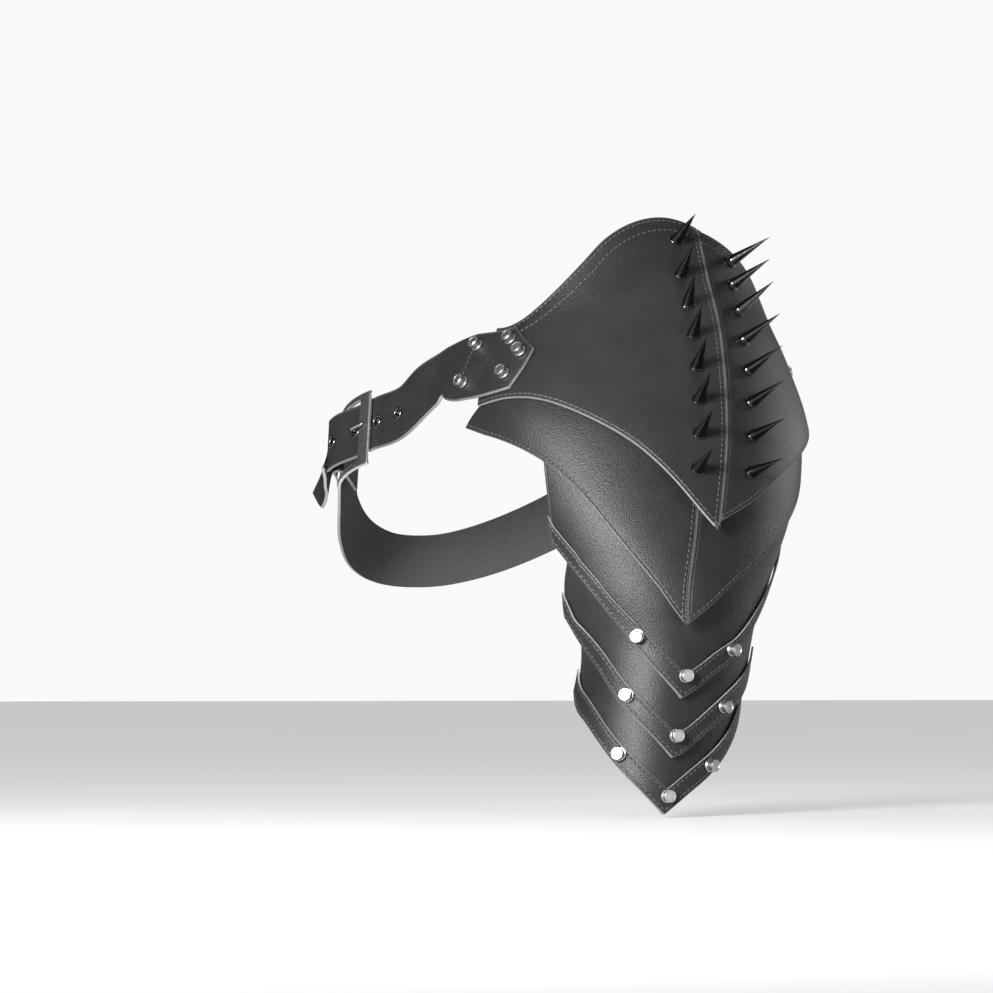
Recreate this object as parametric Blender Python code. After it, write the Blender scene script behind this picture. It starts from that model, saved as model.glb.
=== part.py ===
"""A leather shoulder harness: a spiked shoulder cap, a second plate, three arm lames and a body strap.

Every leather piece lies on one shoulder form, a stack of open rings from the neck down to the
upper arm. A place on the form is (s, t): s runs from -1 at the front end through 0 at the ridge
to 1 at the back end, and t counts the rings downwards. Each piece lies a whole number of layers
off the form, so that pieces bend together and never cross. +X is outwards, -Y is the wearer's
front and +Z is up. The origin is the shoulder seat, under the ridge beside the neck edge.
"""

import math
from collections import namedtuple

import bmesh
import bpy
import numpy as np
from mathutils import Matrix, Vector
from mathutils.geometry import delaunay_2d_cdt

MM = 0.001

# The form's overall sizes
SHOULDER_REACH = 100 * MM
SHOULDER_DEPTH = 130 * MM
SLEEVE_DROP = 400 * MM

# Leather
LEATHER = 2.2 * MM
BAND_LEATHER = 1.3 * MM
LAYER_GAP = 0.8 * MM
SEAM_GAP = 0.4 * MM
CELL = 18 * MM
SLIVER_AREA = 0.1 * MM**2

# Strap and its heads
STRAP_WIDTH = 40 * MM
STRAP_LEATHER = 2.2 * MM
HEAD_WIDTH = 52 * MM
HEAD_LENGTH = 72 * MM
HOLE_PITCH = 26 * MM
TAIL_POINT = 12 * MM

# Cone spikes
SPIKE_LENGTH = 35 * MM
SPIKE_DIAMETER = 9.4 * MM
SPIKE_COLLAR = 2.4 * MM
SPIKE_SIDES = 8
SPIKE_OFFSET = 15 * MM

# Flat-top studs and rivets
STUD_DIAMETER = 9 * MM
STUD_HEIGHT = 6 * MM
STUD_SIDES = 8
POST_DIAMETER = 2.6 * MM
POST_SIDES = 6
POST_CLEARANCE = 0.6 * MM
WASHER_DIAMETER = 7 * MM
WASHER_THICKNESS = 1.0 * MM
SEAT_GAP = 0.5 * MM
WASHER_GAP = 0.7 * MM

# Eyelets
EYELET_DIAMETER = 9.4 * MM
EYELET_BORE = 5.6 * MM
EYELET_WALL = 0.7 * MM
EYELET_SIDES = 8

# Buckle: its plate is arched along the strap, and its centre, turn, lean and drop place it
BUCKLE_HEIGHT = 57 * MM
BUCKLE_LENGTH = 55 * MM
BUCKLE_RAIL = 5 * MM
BUCKLE_FRONT_BAR = 11 * MM
BUCKLE_BACK_BAR = 3.4 * MM
BUCKLE_THICKNESS = 2.4 * MM
BUCKLE_RISE = 5 * MM
BUCKLE_X = -221.5 * MM
BUCKLE_Y = -145 * MM
BUCKLE_Z = -130.6 * MM
BUCKLE_TURN = 12
BUCKLE_LEAN = 10
BUCKLE_DROP = 17
STRAP_RIDE = 3 * MM
PRONG_DIAMETER = 3.2 * MM
PRONG_SIDES = 6

# One ring of the form. Outward, backward and upward places are shares of SHOULDER_REACH,
# SHOULDER_DEPTH and SLEEVE_DROP. Crease is the ridge's half angle in degrees, the headings are
# the ways that the two ends run, in degrees from -X towards +Y, and climb is the ridge's rise.
Ring = namedtuple(
    "Ring",
    "ridge_x ridge_y ridge_z front_x front_y front_z back_x back_y back_z"
    " crease front_heading back_heading climb",
)
RINGS = (
    Ring(-0.24, 0.060, 0.000, -0.85, -0.760, -0.164, -0.78, 0.640, -0.150, 8, -6, 6, 0.70),
    Ring(-0.02, 0.020, -0.088, -0.78, -0.840, -0.205, -0.74, 0.700, -0.195, 19, -6, 6, 0.28),
    Ring(0.24, -0.050, -0.195, -0.71, -0.920, -0.252, -0.68, 0.720, -0.245, 18, -4, 4, 0.10),
    Ring(0.49, -0.180, -0.358, -0.60, -0.990, -0.330, -0.56, 0.700, -0.325, 9, 0, 0, 0.00),
    Ring(0.59, -0.320, -0.512, -0.44, -0.930, -0.440, -0.34, 0.560, -0.440, 3, 8, 5, 0.00),
    Ring(0.60, -0.415, -0.612, -0.29, -0.820, -0.580, 0.02, 0.270, -0.600, 1, 16, 14, 0.00),
    Ring(0.586, -0.450, -0.708, -0.15, -0.700, -0.722, 0.260, 0.060, -0.747, 0, 25, 21, 0.00),
    Ring(0.590, -0.520, -0.838, -0.13, -0.760, -0.852, 0.270, -0.010, -0.878, 0, 25, 21, 0.00),
    Ring(0.590, -0.600, -1.000, -0.11, -0.810, -1.015, 0.270, -0.110, -1.040, 0, 25, 21, 0.00),
)
RIDGE_HANDLE = 0.42
END_HANDLE = 0.36
RIDGE_FACING = 10


def smooth_step(value):
    """Runs from 0 to 1 with no slope at either end."""
    value = min(1.0, max(0.0, value))
    return value * value * (3 - 2 * value)


def smooth_table(rows, place):
    """Reads a table of (place, value, ...) rows along one smooth curve through them."""
    places = [row[0] for row in rows]
    values = [np.array(row[1:], dtype=float) for row in rows]
    slopes = []
    for i in range(len(rows)):
        before, after = max(i - 1, 0), min(i + 1, len(rows) - 1)
        slopes.append((values[after] - values[before]) / (places[after] - places[before]))
    i = 0
    while i < len(rows) - 2 and place > places[i + 1]:
        i += 1
    width = places[i + 1] - places[i]
    u = (place - places[i]) / width
    if u < 0:
        return values[0] + slopes[0] * (place - places[0])
    if u > 1:
        return values[-1] + slopes[-1] * (place - places[-1])
    return (
        values[i] * (2 * u**3 - 3 * u**2 + 1)
        + slopes[i] * width * (u**3 - 2 * u**2 + u)
        + values[i + 1] * (3 * u**2 - 2 * u**3)
        + slopes[i + 1] * width * (u**3 - u**2)
    )


def heading(degrees, rise=0.0):
    """A level direction, turned from -X towards +Y, with a rise."""
    turn = math.radians(degrees)
    return np.array([-math.cos(turn), math.sin(turn), rise])


def ring_controls(ring, side, creased):
    """The four Bezier points of one half of a ring, from the ridge to its front or back end."""
    scale = np.array([SHOULDER_REACH, SHOULDER_DEPTH, SLEEVE_DROP])
    ridge = np.array([ring.ridge_x, ring.ridge_y, ring.ridge_z]) * scale
    if side < 0:
        end = np.array([ring.front_x, ring.front_y, ring.front_z]) * scale
        end_way = heading(ring.front_heading)
        leave = heading(-90 + RIDGE_FACING + creased * ring.crease, ring.climb)
    else:
        end = np.array([ring.back_x, ring.back_y, ring.back_z]) * scale
        end_way = heading(ring.back_heading)
        leave = heading(90 + RIDGE_FACING - creased * ring.crease, -0.5 * ring.climb)
    span = np.linalg.norm(end - ridge)
    return ridge, ridge + leave * span * RIDGE_HANDLE, end - end_way * span * END_HANDLE, end


CONTROL_ROWS = {
    (side, creased): [
        (float(i), *np.concatenate(ring_controls(ring, side, creased)))
        for i, ring in enumerate(RINGS)
    ]
    for side in (-1, 1)
    for creased in (0, 1)
}


def form_point(s, t, creased=1):
    """The point of the shoulder form at (s, t)."""
    side = -1 if s < 0 else 1
    ridge, leave, arrive, end = smooth_table(CONTROL_ROWS[side, creased], t).reshape(4, 3)
    u = abs(s)
    if u > 1:
        way = (end - arrive) * 3
        return end + way * (u - 1)
    return (
        ridge * (1 - u) ** 3
        + leave * 3 * u * (1 - u) ** 2
        + arrive * 3 * u**2 * (1 - u)
        + end * u**3
    )


STEP = 0.01
HOLE_TRIES = 4


def lift_way(s, t):
    """The way that layers are stacked: the normal of the form without its crease."""
    across = form_point(s + STEP, t, 0) - form_point(s - STEP, t, 0)
    down = form_point(s, t + STEP, 0) - form_point(s, t - STEP, 0)
    normal = np.cross(down, across)
    return normal / np.linalg.norm(normal)


def layer_lift(layer):
    """The height of a layer's outer face over the form."""
    return layer * (LEATHER + LAYER_GAP)


# The layers, counted outwards from the form
LAYER_LAME_LOWER, LAYER_LAME_MIDDLE, LAYER_LAME_UPPER, LAYER_MID, LAYER_CAP = 1, 2, 3, 4, 5

# How far the peaks of the two plates stand off what is under them
MID_FLARE = 10 * MM
CAP_FLARE = 9 * MM


def mid_lift(s, t):
    peak = MID_FLARE * smooth_step((t - 3.2) / 2.4) * math.cos(min(abs(s), 1) * math.pi / 2) ** 2
    return layer_lift(LAYER_MID) + peak


def cap_lift(s, t):
    peak = CAP_FLARE * smooth_step((t - 1.0) / 3.0) * math.cos(min(abs(s), 1) * math.pi / 2) ** 2
    return mid_lift(s, t) + LEATHER + LAYER_GAP + peak


def lame_lift(layer):
    return lambda s, t: layer_lift(layer)


def band_lift(layer):
    return lambda s, t: layer_lift(layer) + LAYER_GAP + BAND_LEATHER


def lifted(lift, s, t, drop=0.0):
    """The point on a piece's outer face, or a drop below that face."""
    return form_point(s, t) + lift_way(s, t) * (lift(s, t) - drop)


def face_frame(lift, s, t):
    """The place, outward normal and down-the-piece direction of a piece's outer face."""
    across = lifted(lift, s + STEP, t) - lifted(lift, s - STEP, t)
    down = lifted(lift, s, t + STEP) - lifted(lift, s, t - STEP)
    normal = np.cross(down, across)
    normal /= np.linalg.norm(normal)
    return lifted(lift, s, t), normal, down / np.linalg.norm(down)


def face_slopes(lift, s, t):
    """How a piece's outer face moves for one unit of s and one of t."""
    across_s = (lifted(lift, s + STEP, t) - lifted(lift, s - STEP, t)) / (2 * STEP)
    across_t = (lifted(lift, s, t + STEP) - lifted(lift, s, t - STEP)) / (2 * STEP)
    return across_s, across_t


def face_slide(lift, s, t, arm):
    """The (s, t) reached from a place by a move in metres, kept on the face."""
    across = np.array(face_slopes(lift, s, t))
    move = np.linalg.solve(across @ across.T, across @ arm)
    return s + move[0], t + move[1]


def face_move(lift, s, t, along, down):
    """The (s, t) reached from a place by moves in metres along the face and square to that."""
    across_s, across_t = face_slopes(lift, s, t)
    first = across_s / np.linalg.norm(across_s)
    second = across_t - (across_t @ first) * first
    second /= np.linalg.norm(second)
    return face_slide(lift, s, t, along * first + down * second)


def post_place(lift, s, t):
    """A post's place: its (s, t), its centre on the outer face and its axis."""
    centre, normal, _ = face_frame(lift, s, t)
    return s, t, centre, normal


def round_hole(lift, thickness, post, radius, sides=POST_SIDES):
    """A post's hole as (s, t) corners, round on the face and centred on the post's own axis."""
    s, t, centre, axis = post
    for _ in range(HOLE_TRIES):
        arm = centre - lifted(lift, s, t, thickness / 2)
        s, t = face_slide(lift, s, t, arm - axis * (arm @ axis))
    turns = [2 * math.pi * (i + 0.5) / sides for i in range(sides)]
    return [
        face_move(lift, s, t, radius * math.cos(turn), radius * math.sin(turn)) for turn in turns
    ]


def row_length(lift, s, t):
    """Metres of face for one ring step at a place."""
    return np.linalg.norm(lifted(lift, s, t + STEP) - lifted(lift, s, t - STEP)) / (2 * STEP)


# Materials: colour, metallic, roughness
FINISHES = {
    "black_leather": ((0.018, 0.018, 0.019), 0.0, 0.42),
    "border_leather": ((0.020, 0.020, 0.021), 0.0, 0.45),
    "strap_leather": ((0.017, 0.017, 0.018), 0.0, 0.50),
    "black_chrome": ((0.10, 0.10, 0.11), 1.0, 0.14),
    "satin_steel": ((0.62, 0.62, 0.63), 1.0, 0.30),
    "buckle_nickel": ((0.60, 0.60, 0.60), 1.0, 0.28),
    "gunmetal": ((0.16, 0.16, 0.17), 1.0, 0.22),
}


def finish(name):
    """The material of that name, made the first time that it is asked for."""
    if name in bpy.data.materials:
        return bpy.data.materials[name]
    colour, metallic, roughness = FINISHES[name]
    material = bpy.data.materials.new(name)
    material.use_nodes = True
    shader = material.node_tree.nodes["Principled BSDF"]
    shader.inputs["Base Color"].default_value = (*colour, 1.0)
    shader.inputs["Metallic"].default_value = metallic
    shader.inputs["Roughness"].default_value = roughness
    return material


def add_object(name, verts, faces, material, round_piece=False):
    """A mesh object of its own, with its material."""
    mesh = bpy.data.meshes.new(name)
    mesh.from_pydata([tuple(v) for v in verts], [], faces)
    mesh.update()
    obj = bpy.data.objects.new(name, mesh)
    bpy.context.scene.collection.objects.link(obj)
    mesh.materials.append(finish(material))
    if round_piece:
        mesh.shade_smooth()
        mesh.set_sharp_from_angle(angle=math.radians(35))
    return obj


def inside(point, polygon):
    """Whether a flat point lies inside a closed polygon."""
    x, y = point
    found = False
    for (x0, y0), (x1, y1) in zip(polygon, polygon[1:] + polygon[:1]):
        if (y0 > y) != (y1 > y) and x < x0 + (y - y0) / (y1 - y0) * (x1 - x0):
            found = not found
    return found


def edge_distance(point, polygon):
    """The distance from a flat point to a closed polygon's nearest edge."""
    nearest = math.inf
    p = np.array(point)
    for start, end in zip(polygon, polygon[1:] + polygon[:1]):
        start, end = np.array(start), np.array(end)
        run = end - start
        share = np.clip((p - start) @ run / max(run @ run, 1e-12), 0, 1)
        nearest = min(nearest, np.linalg.norm(start + share * run - p))
    return nearest


def even_edge(points, spacing):
    """A closed outline with its corners kept and its long edges divided."""
    out = []
    for start, end in zip(points, points[1:] + points[:1]):
        start, end = np.array(start), np.array(end)
        parts = max(1, round(np.linalg.norm(end - start) / spacing))
        out += [tuple(start + (end - start) * i / parts) for i in range(parts)]
    return out


def wall_piece(name, outline, holes, place, stretch, material, cell=CELL, flip=True, rows=()):
    """A closed wall of leather or metal, cut from a flat pattern.

    The outline and the holes are flat, in the pattern's own two measures, and stretch turns those
    into metres. place(u, v, depth) gives the point of the outer face at depth 0 and of the inner
    face at depth 1. Inner points lie a cell apart, or in the rows when those are given.
    """
    flat = even_edge([(u * stretch[0], v * stretch[1]) for u, v in outline], cell)
    cuts = [[(u * stretch[0], v * stretch[1]) for u, v in hole] for hole in holes]
    points = list(flat)
    loops = [(0, len(flat))]
    for cut in cuts:
        loops.append((len(points), len(points) + len(cut)))
        points += cut
    low = np.min(flat, axis=0)
    high = np.max(flat, axis=0)
    grid = list(rows)
    if not grid:
        for row, v in enumerate(np.arange(low[1] + cell / 2, high[1], cell * 0.87)):
            first = low[0] + cell * (0.25 + 0.5 * (row % 2))
            grid += [(u, v) for u in np.arange(first, high[0], cell)]
    margin = MM if rows else 0.3 * cell
    for point in grid:
        if not inside(point, flat) or edge_distance(point, flat) < (MM if rows else 0.5 * cell):
            continue
        if any(inside(point, c) or edge_distance(point, c) < margin for c in cuts):
            continue
        points.append(point)
    edges = []
    for start, end in loops:
        edges += [(i, i + 1) for i in range(start, end - 1)] + [(end - 1, start)]
    coords, _, triangles, _, _, _ = delaunay_2d_cdt([Vector(p) for p in points], edges, [], 0, 1e-9)
    coords = [tuple(c) for c in coords]
    kept = []
    for triangle in triangles:
        first, second, third = (np.array(coords[i]) for i in triangle)
        one, two = second - first, third - first
        centre = (first + second + third) / 3
        if abs(one[0] * two[1] - one[1] * two[0]) < SLIVER_AREA:
            continue
        if inside(centre, flat) and not any(inside(centre, c) for c in cuts):
            kept.append(tuple(triangle))
    verts = [place(u / stretch[0], v / stretch[1], 0) for u, v in coords]
    verts += [place(u / stretch[0], v / stretch[1], 1) for u, v in coords]
    count = len(coords)
    rim = {}
    faces = []
    for a, b, c in kept:
        faces.append((a, c, b) if flip else (a, b, c))
        faces.append((a + count, b + count, c + count) if flip else (a + count, c + count, b + count))
        for start, end in ((a, b), (b, c), (c, a)):
            if (end, start) in rim:
                del rim[end, start]
            else:
                rim[start, end] = True
    for start, end in rim:
        wall = (start, end, end + count, start + count)
        faces.append(wall if flip else wall[::-1])
    used = sorted({i for face in faces for i in face})
    number = {old: new for new, old in enumerate(used)}
    faces = [tuple(number[i] for i in face) for face in faces]
    return add_object(name, [verts[i] for i in used], faces, material)


def turned_piece(name, profile, sides, place, material):
    """A solid turned about its axis from (radius, height) pairs, the first and last on the axis."""
    centre, axis = place
    side = np.cross(axis, [0.0, 0.0, 1.0])
    side /= np.linalg.norm(side)
    other = np.cross(axis, side)
    verts = [centre + axis * profile[0][1]]
    for radius, height in profile[1:-1]:
        for i in range(sides):
            turn = 2 * math.pi * i / sides
            arm = side * math.cos(turn) + other * math.sin(turn)
            verts.append(centre + axis * height + arm * radius)
    verts.append(centre + axis * profile[-1][1])
    rows = len(profile) - 2
    faces = []
    for i in range(sides):
        j = (i + 1) % sides
        faces.append((0, 1 + j, 1 + i))
        for row in range(rows - 1):
            a = 1 + row * sides
            faces.append((a + i, a + j, a + sides + j, a + sides + i))
        last = 1 + (rows - 1) * sides
        faces.append((last + i, last + j, len(verts) - 1))
    return add_object(name, verts, faces, material, round_piece=True)


def ring_piece(name, section, sides, place, material):
    """A ring turned about its axis from a closed (radius, height) section."""
    centre, axis = place
    side = np.cross(axis, [0.0, 0.0, 1.0])
    side /= np.linalg.norm(side)
    other = np.cross(axis, side)
    verts = []
    for radius, height in section:
        for i in range(sides):
            turn = 2 * math.pi * i / sides
            arm = side * math.cos(turn) + other * math.sin(turn)
            verts.append(centre + axis * height + arm * radius)
    faces = []
    for row in range(len(section)):
        after = (row + 1) % len(section)
        for i in range(sides):
            j = (i + 1) % sides
            faces.append((row * sides + i, row * sides + j, after * sides + j, after * sides + i))
    return add_object(name, verts, faces, material, round_piece=True)


def tube_piece(name, points, radii, across, sides, material):
    """A rod along points that lie in one plane, across being that plane's normal."""
    verts = []
    for i, (point, radius) in enumerate(zip(points, radii)):
        way = points[min(i + 1, len(points) - 1)] - points[max(i - 1, 0)]
        way /= np.linalg.norm(way)
        other = np.cross(way, across)
        for j in range(sides):
            turn = 2 * math.pi * j / sides
            verts.append(point + radius * (math.cos(turn) * across + math.sin(turn) * other))
    faces = [tuple(range(sides))[::-1], tuple((len(points) - 1) * sides + j for j in range(sides))]
    for i in range(len(points) - 1):
        for j in range(sides):
            k = (j + 1) % sides
            a = i * sides
            faces.append((a + j, a + k, a + sides + k, a + sides + j))
    return add_object(name, verts, faces, material, round_piece=True)


# Metres of pattern for one unit of s and one of t, close to the real lengths on the form
PATTERN_S = 1.4 * SHOULDER_DEPTH
PATTERN_T = SLEEVE_DROP / 8
ARM_FINENESS = 1.5

# The sewn seams and the lames' points, in s
CAP_SEAM = -0.02
MID_SEAM = -0.08
LAME_POINT = -0.03

# Hems and hidden top edges as rows of (s, t), from the front end to the back end
CAP_TOP = ((-1.0, 0.22), (-0.83, 0.33), (-0.66, 0.27), (-0.51, 0.15), (-0.40, 0.03), (-0.20, 0.0),
           (0.0, 0.0), (0.3, 0.0), (0.55, 0.12), (0.8, 0.24), (1.0, 0.22))
CAP_HEM = ((-1.01, 2.68), (-0.86, 2.62), (-0.72, 2.67), (-0.55, 2.86), (-0.34, 3.18),
           (-0.19, 3.53), (-0.02, 4.07), (0.10, 3.67), (0.185, 3.46), (0.27, 3.31), (0.45, 3.06),
           (0.65, 2.82), (0.85, 2.66), (1.01, 2.64))
MID_TOP = ((-1.0, 1.25), (-0.93, 0.80), (-0.80, 0.85), (-0.66, 1.70), (-0.45, 2.45),
           (-0.25, 2.95), (-0.08, 3.45), (0.10, 3.05), (0.35, 2.60), (0.60, 1.85), (0.76, 0.85),
           (0.93, 0.80), (1.0, 1.25))
MID_HEM = ((-1.127, 2.97), (-0.88, 3.26), (-0.68, 3.56), (-0.53, 3.89), (-0.34, 4.48),
           (-0.20, 5.02), (-0.08, 5.60), (0.065, 5.11), (0.158, 4.71), (0.26, 4.33), (0.40, 3.98),
           (0.62, 3.58), (0.85, 3.22), (1.10, 2.95))
MID_NOTCH_S = 1.0
MID_NOTCH_T = 2.6
UPPER_TOP = ((-0.68, 2.25), (-0.52, 2.25), (-0.28, 3.60), (-0.03, 4.35), (0.22, 3.80), (0.48, 2.30),
             (0.74, 2.25))
UPPER_HEM = ((-0.743, 4.56), (-0.647, 4.85), (-0.526, 5.23), (-0.408, 5.69), (-0.248, 6.19),
             (-0.03, 6.66), (0.071, 6.52), (0.175, 6.34), (0.33, 6.07), (0.42, 5.80), (0.51, 5.46),
             (0.64, 4.95), (0.78, 4.50))
MIDDLE_TOP = ((-0.60, 4.35), (-0.45, 4.85), (-0.32, 5.30), (-0.03, 5.95), (0.30, 5.45), (0.50, 4.90),
              (0.66, 4.55))
MIDDLE_HEM = ((-0.87, 5.46), (-0.80, 5.75), (-0.67, 6.09), (-0.445, 6.63), (-0.265, 6.94),
              (-0.03, 7.32), (0.049, 7.25), (0.215, 7.01), (0.34, 6.82), (0.54, 6.52), (0.68, 6.28),
              (0.84, 5.95))
LOWER_TOP = ((-0.84, 5.75), (-0.60, 6.00), (-0.36, 6.30), (-0.03, 6.78), (0.33, 6.35), (0.55, 5.95),
             (0.74, 5.75))
LOWER_HEM = ((-1.0, 6.45), (-0.86, 6.70), (-0.697, 6.90), (-0.438, 7.32), (-0.248, 7.59),
             (-0.03, 7.88), (0.129, 7.68), (0.33, 7.43), (0.486, 7.19), (0.65, 6.88), (0.82, 6.50))

# Studs on the lames as (s, t), at the front, the point and the back
UPPER_STUDS = ((-0.323, 5.76), (-0.035, 6.38), (0.297, 5.92))
MIDDLE_STUDS = ((-0.364, 6.61), (-0.034, 7.09), (0.329, 6.67))
LOWER_STUDS = ((-0.380, 7.26), (-0.030, 7.70), (0.300, 7.34))
STUD_NAMES = ("front", "point", "back")
BAND_WIDTH = 17 * MM

# Strap heads: where the point of each head lies, and its studs as shares of its length and width
HEAD_POINT_S = 0.73
HEAD_POINT_T = 1.70
HEAD_POINT = 15 * MM
HEAD_WALK = 5
HEAD_ROWS = (0.2, 0.4, 0.55, 0.7, 0.9)
HEAD_STUDS = ((0.14, 0.0), (0.28, -0.29), (0.28, 0.29), (0.78, -0.29), (0.78, 0.29))
TONGUE_LENGTH = 26 * MM
TONGUE_WIDTH = 41 * MM

# Hidden rivets that carry the upper lame, and their flat heads
HIDDEN_RIVETS = (("front", -0.60, 2.62), ("back", 0.60, 2.62))
HIDDEN_HEAD = 1.0 * MM

HOLE_RADIUS = POST_DIAMETER / 2 + POST_CLEARANCE
SPIKE_HOLE_RADIUS = HOLE_RADIUS + 0.4 * MM


def smooth_edge(rows, step=0.05):
    """A hem or top edge as a smooth run of (s, t), keeping its two ends and its table's points."""
    ends = [row[0] for row in rows]
    out = []
    for start, end in zip(ends, ends[1:]):
        parts = max(1, math.ceil((end - start) / step - 0.01))
        for i in range(parts):
            s = start + (end - start) * i / parts
            out.append((s, float(smooth_table(rows, s)[0])))
    out.append((rows[-1][0], rows[-1][1]))
    return out


def cut_rows(rows, point):
    """A table split at its point, so that a V keeps its sharp corner."""
    return [r for r in rows if r[0] <= point + 1e-6], [r for r in rows if r[0] >= point - 1e-6]


def v_edge(rows, point):
    """A smooth edge with a sharp corner at the given s."""
    front, back = cut_rows(rows, point)
    return smooth_edge(front), smooth_edge(back)


def form_place(lift, thickness):
    return lambda s, t, depth: lifted(lift, s, t, depth * thickness)


def spike_posts(side):
    """The posts of one column of spikes, evenly spaced down the cap beside its seam."""
    rows = []
    length = 0.0
    t = 0.0
    previous = lifted(cap_lift, CAP_SEAM, 0.0)
    while len(rows) < SPIKE_COUNT and t < 3.9:
        t += STEP
        here = lifted(cap_lift, CAP_SEAM, t)
        length += np.linalg.norm(here - previous)
        previous = here
        if length >= SPIKE_START + SPIKE_PITCH * len(rows):
            place = face_move(cap_lift, CAP_SEAM + side * 0.02, t, side * SPIKE_OFFSET, 0.0)
            rows.append(post_place(cap_lift, *place))
    return rows


SPIKE_COUNT = 8
SPIKE_PITCH = 26.5 * MM
SPIKE_START = 16 * MM


def strap_lift(s, t):
    return cap_lift(s, t) + STRAP_LEATHER + LAYER_GAP


def head_place(side, along, across):
    """The (s, t) of a strap head's own place, measured from its point and its middle line."""
    s, t = side * HEAD_POINT_S, HEAD_POINT_T
    for _ in range(HEAD_WALK):
        s, t = face_move(strap_lift, s, t, side * along / HEAD_WALK, 0.0)
    for _ in range(HEAD_WALK):
        s, t = face_move(strap_lift, s, t, 0.0, across / HEAD_WALK)
    return s, t


def head_posts(side):
    """The posts of one strap head's studs."""
    return [
        post_place(strap_lift, *head_place(side, x * HEAD_LENGTH, y * HEAD_WIDTH))
        for x, y in HEAD_STUDS
    ]


def hidden_posts():
    return [post_place(mid_lift, s, t) for _, s, t in HIDDEN_RIVETS]


def stud_posts(layer, studs):
    return [post_place(band_lift(layer), s, t) for s, t in studs]


def plate_panels():
    """The cap and the second plate, each of two panels sewn together along a seam."""
    plates = (
        ("cap", CAP_SEAM, CAP_TOP, CAP_HEM, cap_lift),
        ("mid", MID_SEAM, MID_TOP, MID_HEM, mid_lift),
    )
    for name, seam, top, hem, lift in plates:
        hem_front, hem_back = v_edge(hem, seam)
        top_front, top_back = v_edge(split_at(top, seam), seam)
        half_gap = SEAM_GAP / 2 / PATTERN_S
        for side, half_top, half_hem in ((-1, top_front, hem_front), (1, top_back, hem_back)):
            holes = [round_hole(lift, LEATHER, post, radius) for post, radius in plate_holes(name, side)]
            half_top = [(s, t) for s, t in half_top]
            half_hem = [(s, t) for s, t in half_hem]
            inner = 0 if side > 0 else -1
            half_top[inner] = (seam + side * half_gap, half_top[inner][1])
            half_hem[inner] = (seam + side * half_gap, half_hem[inner][1])
            if side < 0:
                outline = half_top[::-1] + tongue(name, side) + half_hem
            else:
                outline = half_hem + tongue(name, side)[::-1] + half_top[::-1]
            wall_piece(
                f"{name}_{'front' if side < 0 else 'back'}_panel",
                outline,
                holes,
                form_place(lift, LEATHER),
                (PATTERN_S, PATTERN_T),
                "black_leather",
            )


def split_at(rows, point):
    """The table with a row of its own at the given s."""
    if any(abs(row[0] - point) < 1e-6 for row in rows):
        return rows
    t = float(smooth_table(rows, point)[0])
    return tuple(sorted(rows + ((point, t),)))


def tongue(name, side):
    """The cap's tongue, which reaches out under the strap head, or the second plate's notch."""
    if name != "cap":
        return [(side * MID_NOTCH_S, MID_NOTCH_T)]
    root = HEAD_LENGTH * 0.62
    tip = root + TONGUE_LENGTH
    half = TONGUE_WIDTH / 2
    return [
        head_place(side, along, across)
        for along, across in ((root, -half), (tip, -half), (tip, half), (root, half))
    ]


def plate_holes(name, side):
    """The posts that pass through one panel, each with the radius of its hole."""
    studs = [(post, HOLE_RADIUS) for post in head_posts(side)]
    if name == "cap":
        return [(post, SPIKE_HOLE_RADIUS) for post in spike_posts(side)] + studs
    return studs[:3] + [(post, HOLE_RADIUS) for post in hidden_posts() if post[0] * side > 0]


LAMES = (
    ("upper", LAYER_LAME_UPPER, UPPER_TOP, UPPER_HEM, UPPER_STUDS),
    ("middle", LAYER_LAME_MIDDLE, MIDDLE_TOP, MIDDLE_HEM, MIDDLE_STUDS),
    ("lower", LAYER_LAME_LOWER, LOWER_TOP, LOWER_HEM, LOWER_STUDS),
)


def band_end(lift, corner, top_corner):
    """Where a band's inner edge meets the lame's own end, a band's width up from the hem."""
    run = np.array(top_corner) - np.array(corner)
    length = np.linalg.norm(lifted(lift, *top_corner) - lifted(lift, *corner))
    return tuple(np.array(corner) + run * BAND_WIDTH / length)


def arm_lames():
    """The three lames, each riveted to the top of the next, and the V border on each hem."""
    above = hidden_posts()
    for name, layer, top, hem, studs in LAMES:
        lift = lame_lift(layer)
        posts = stud_posts(layer, studs)
        hem_front, hem_back = v_edge(hem, LAME_POINT)
        top_front, top_back = v_edge(top, LAME_POINT)
        top_edge = top_front + top_back[1:]
        outline = top_edge[::-1] + hem_front + hem_back[1:]
        holes = [round_hole(lift, LEATHER, post, HOLE_RADIUS) for post in above + posts]
        wall_piece(
            f"lame_{name}",
            outline,
            holes,
            form_place(lift, LEATHER),
            (PATTERN_S * ARM_FINENESS, PATTERN_T),
            "black_leather",
        )
        edge = hem_front + hem_back[1:]
        ends = [band_end(lift, edge[i], top_edge[i]) for i in (0, -1)]
        upper = [(s, t - BAND_WIDTH / row_length(lift, s, t)) for s, t in edge]
        upper = [(s, t) for s, t in upper if ends[0][0] + 0.02 < s < ends[1][0] - 0.02]
        upper = [ends[0]] + upper + [ends[1]]
        wall_piece(
            f"band_{name}",
            upper[::-1] + edge,
            [round_hole(band_lift(layer), BAND_LEATHER, post, HOLE_RADIUS) for post in posts],
            form_place(band_lift(layer), BAND_LEATHER),
            (PATTERN_S * ARM_FINENESS, PATTERN_T),
            "border_leather",
        )
        above = posts


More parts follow.
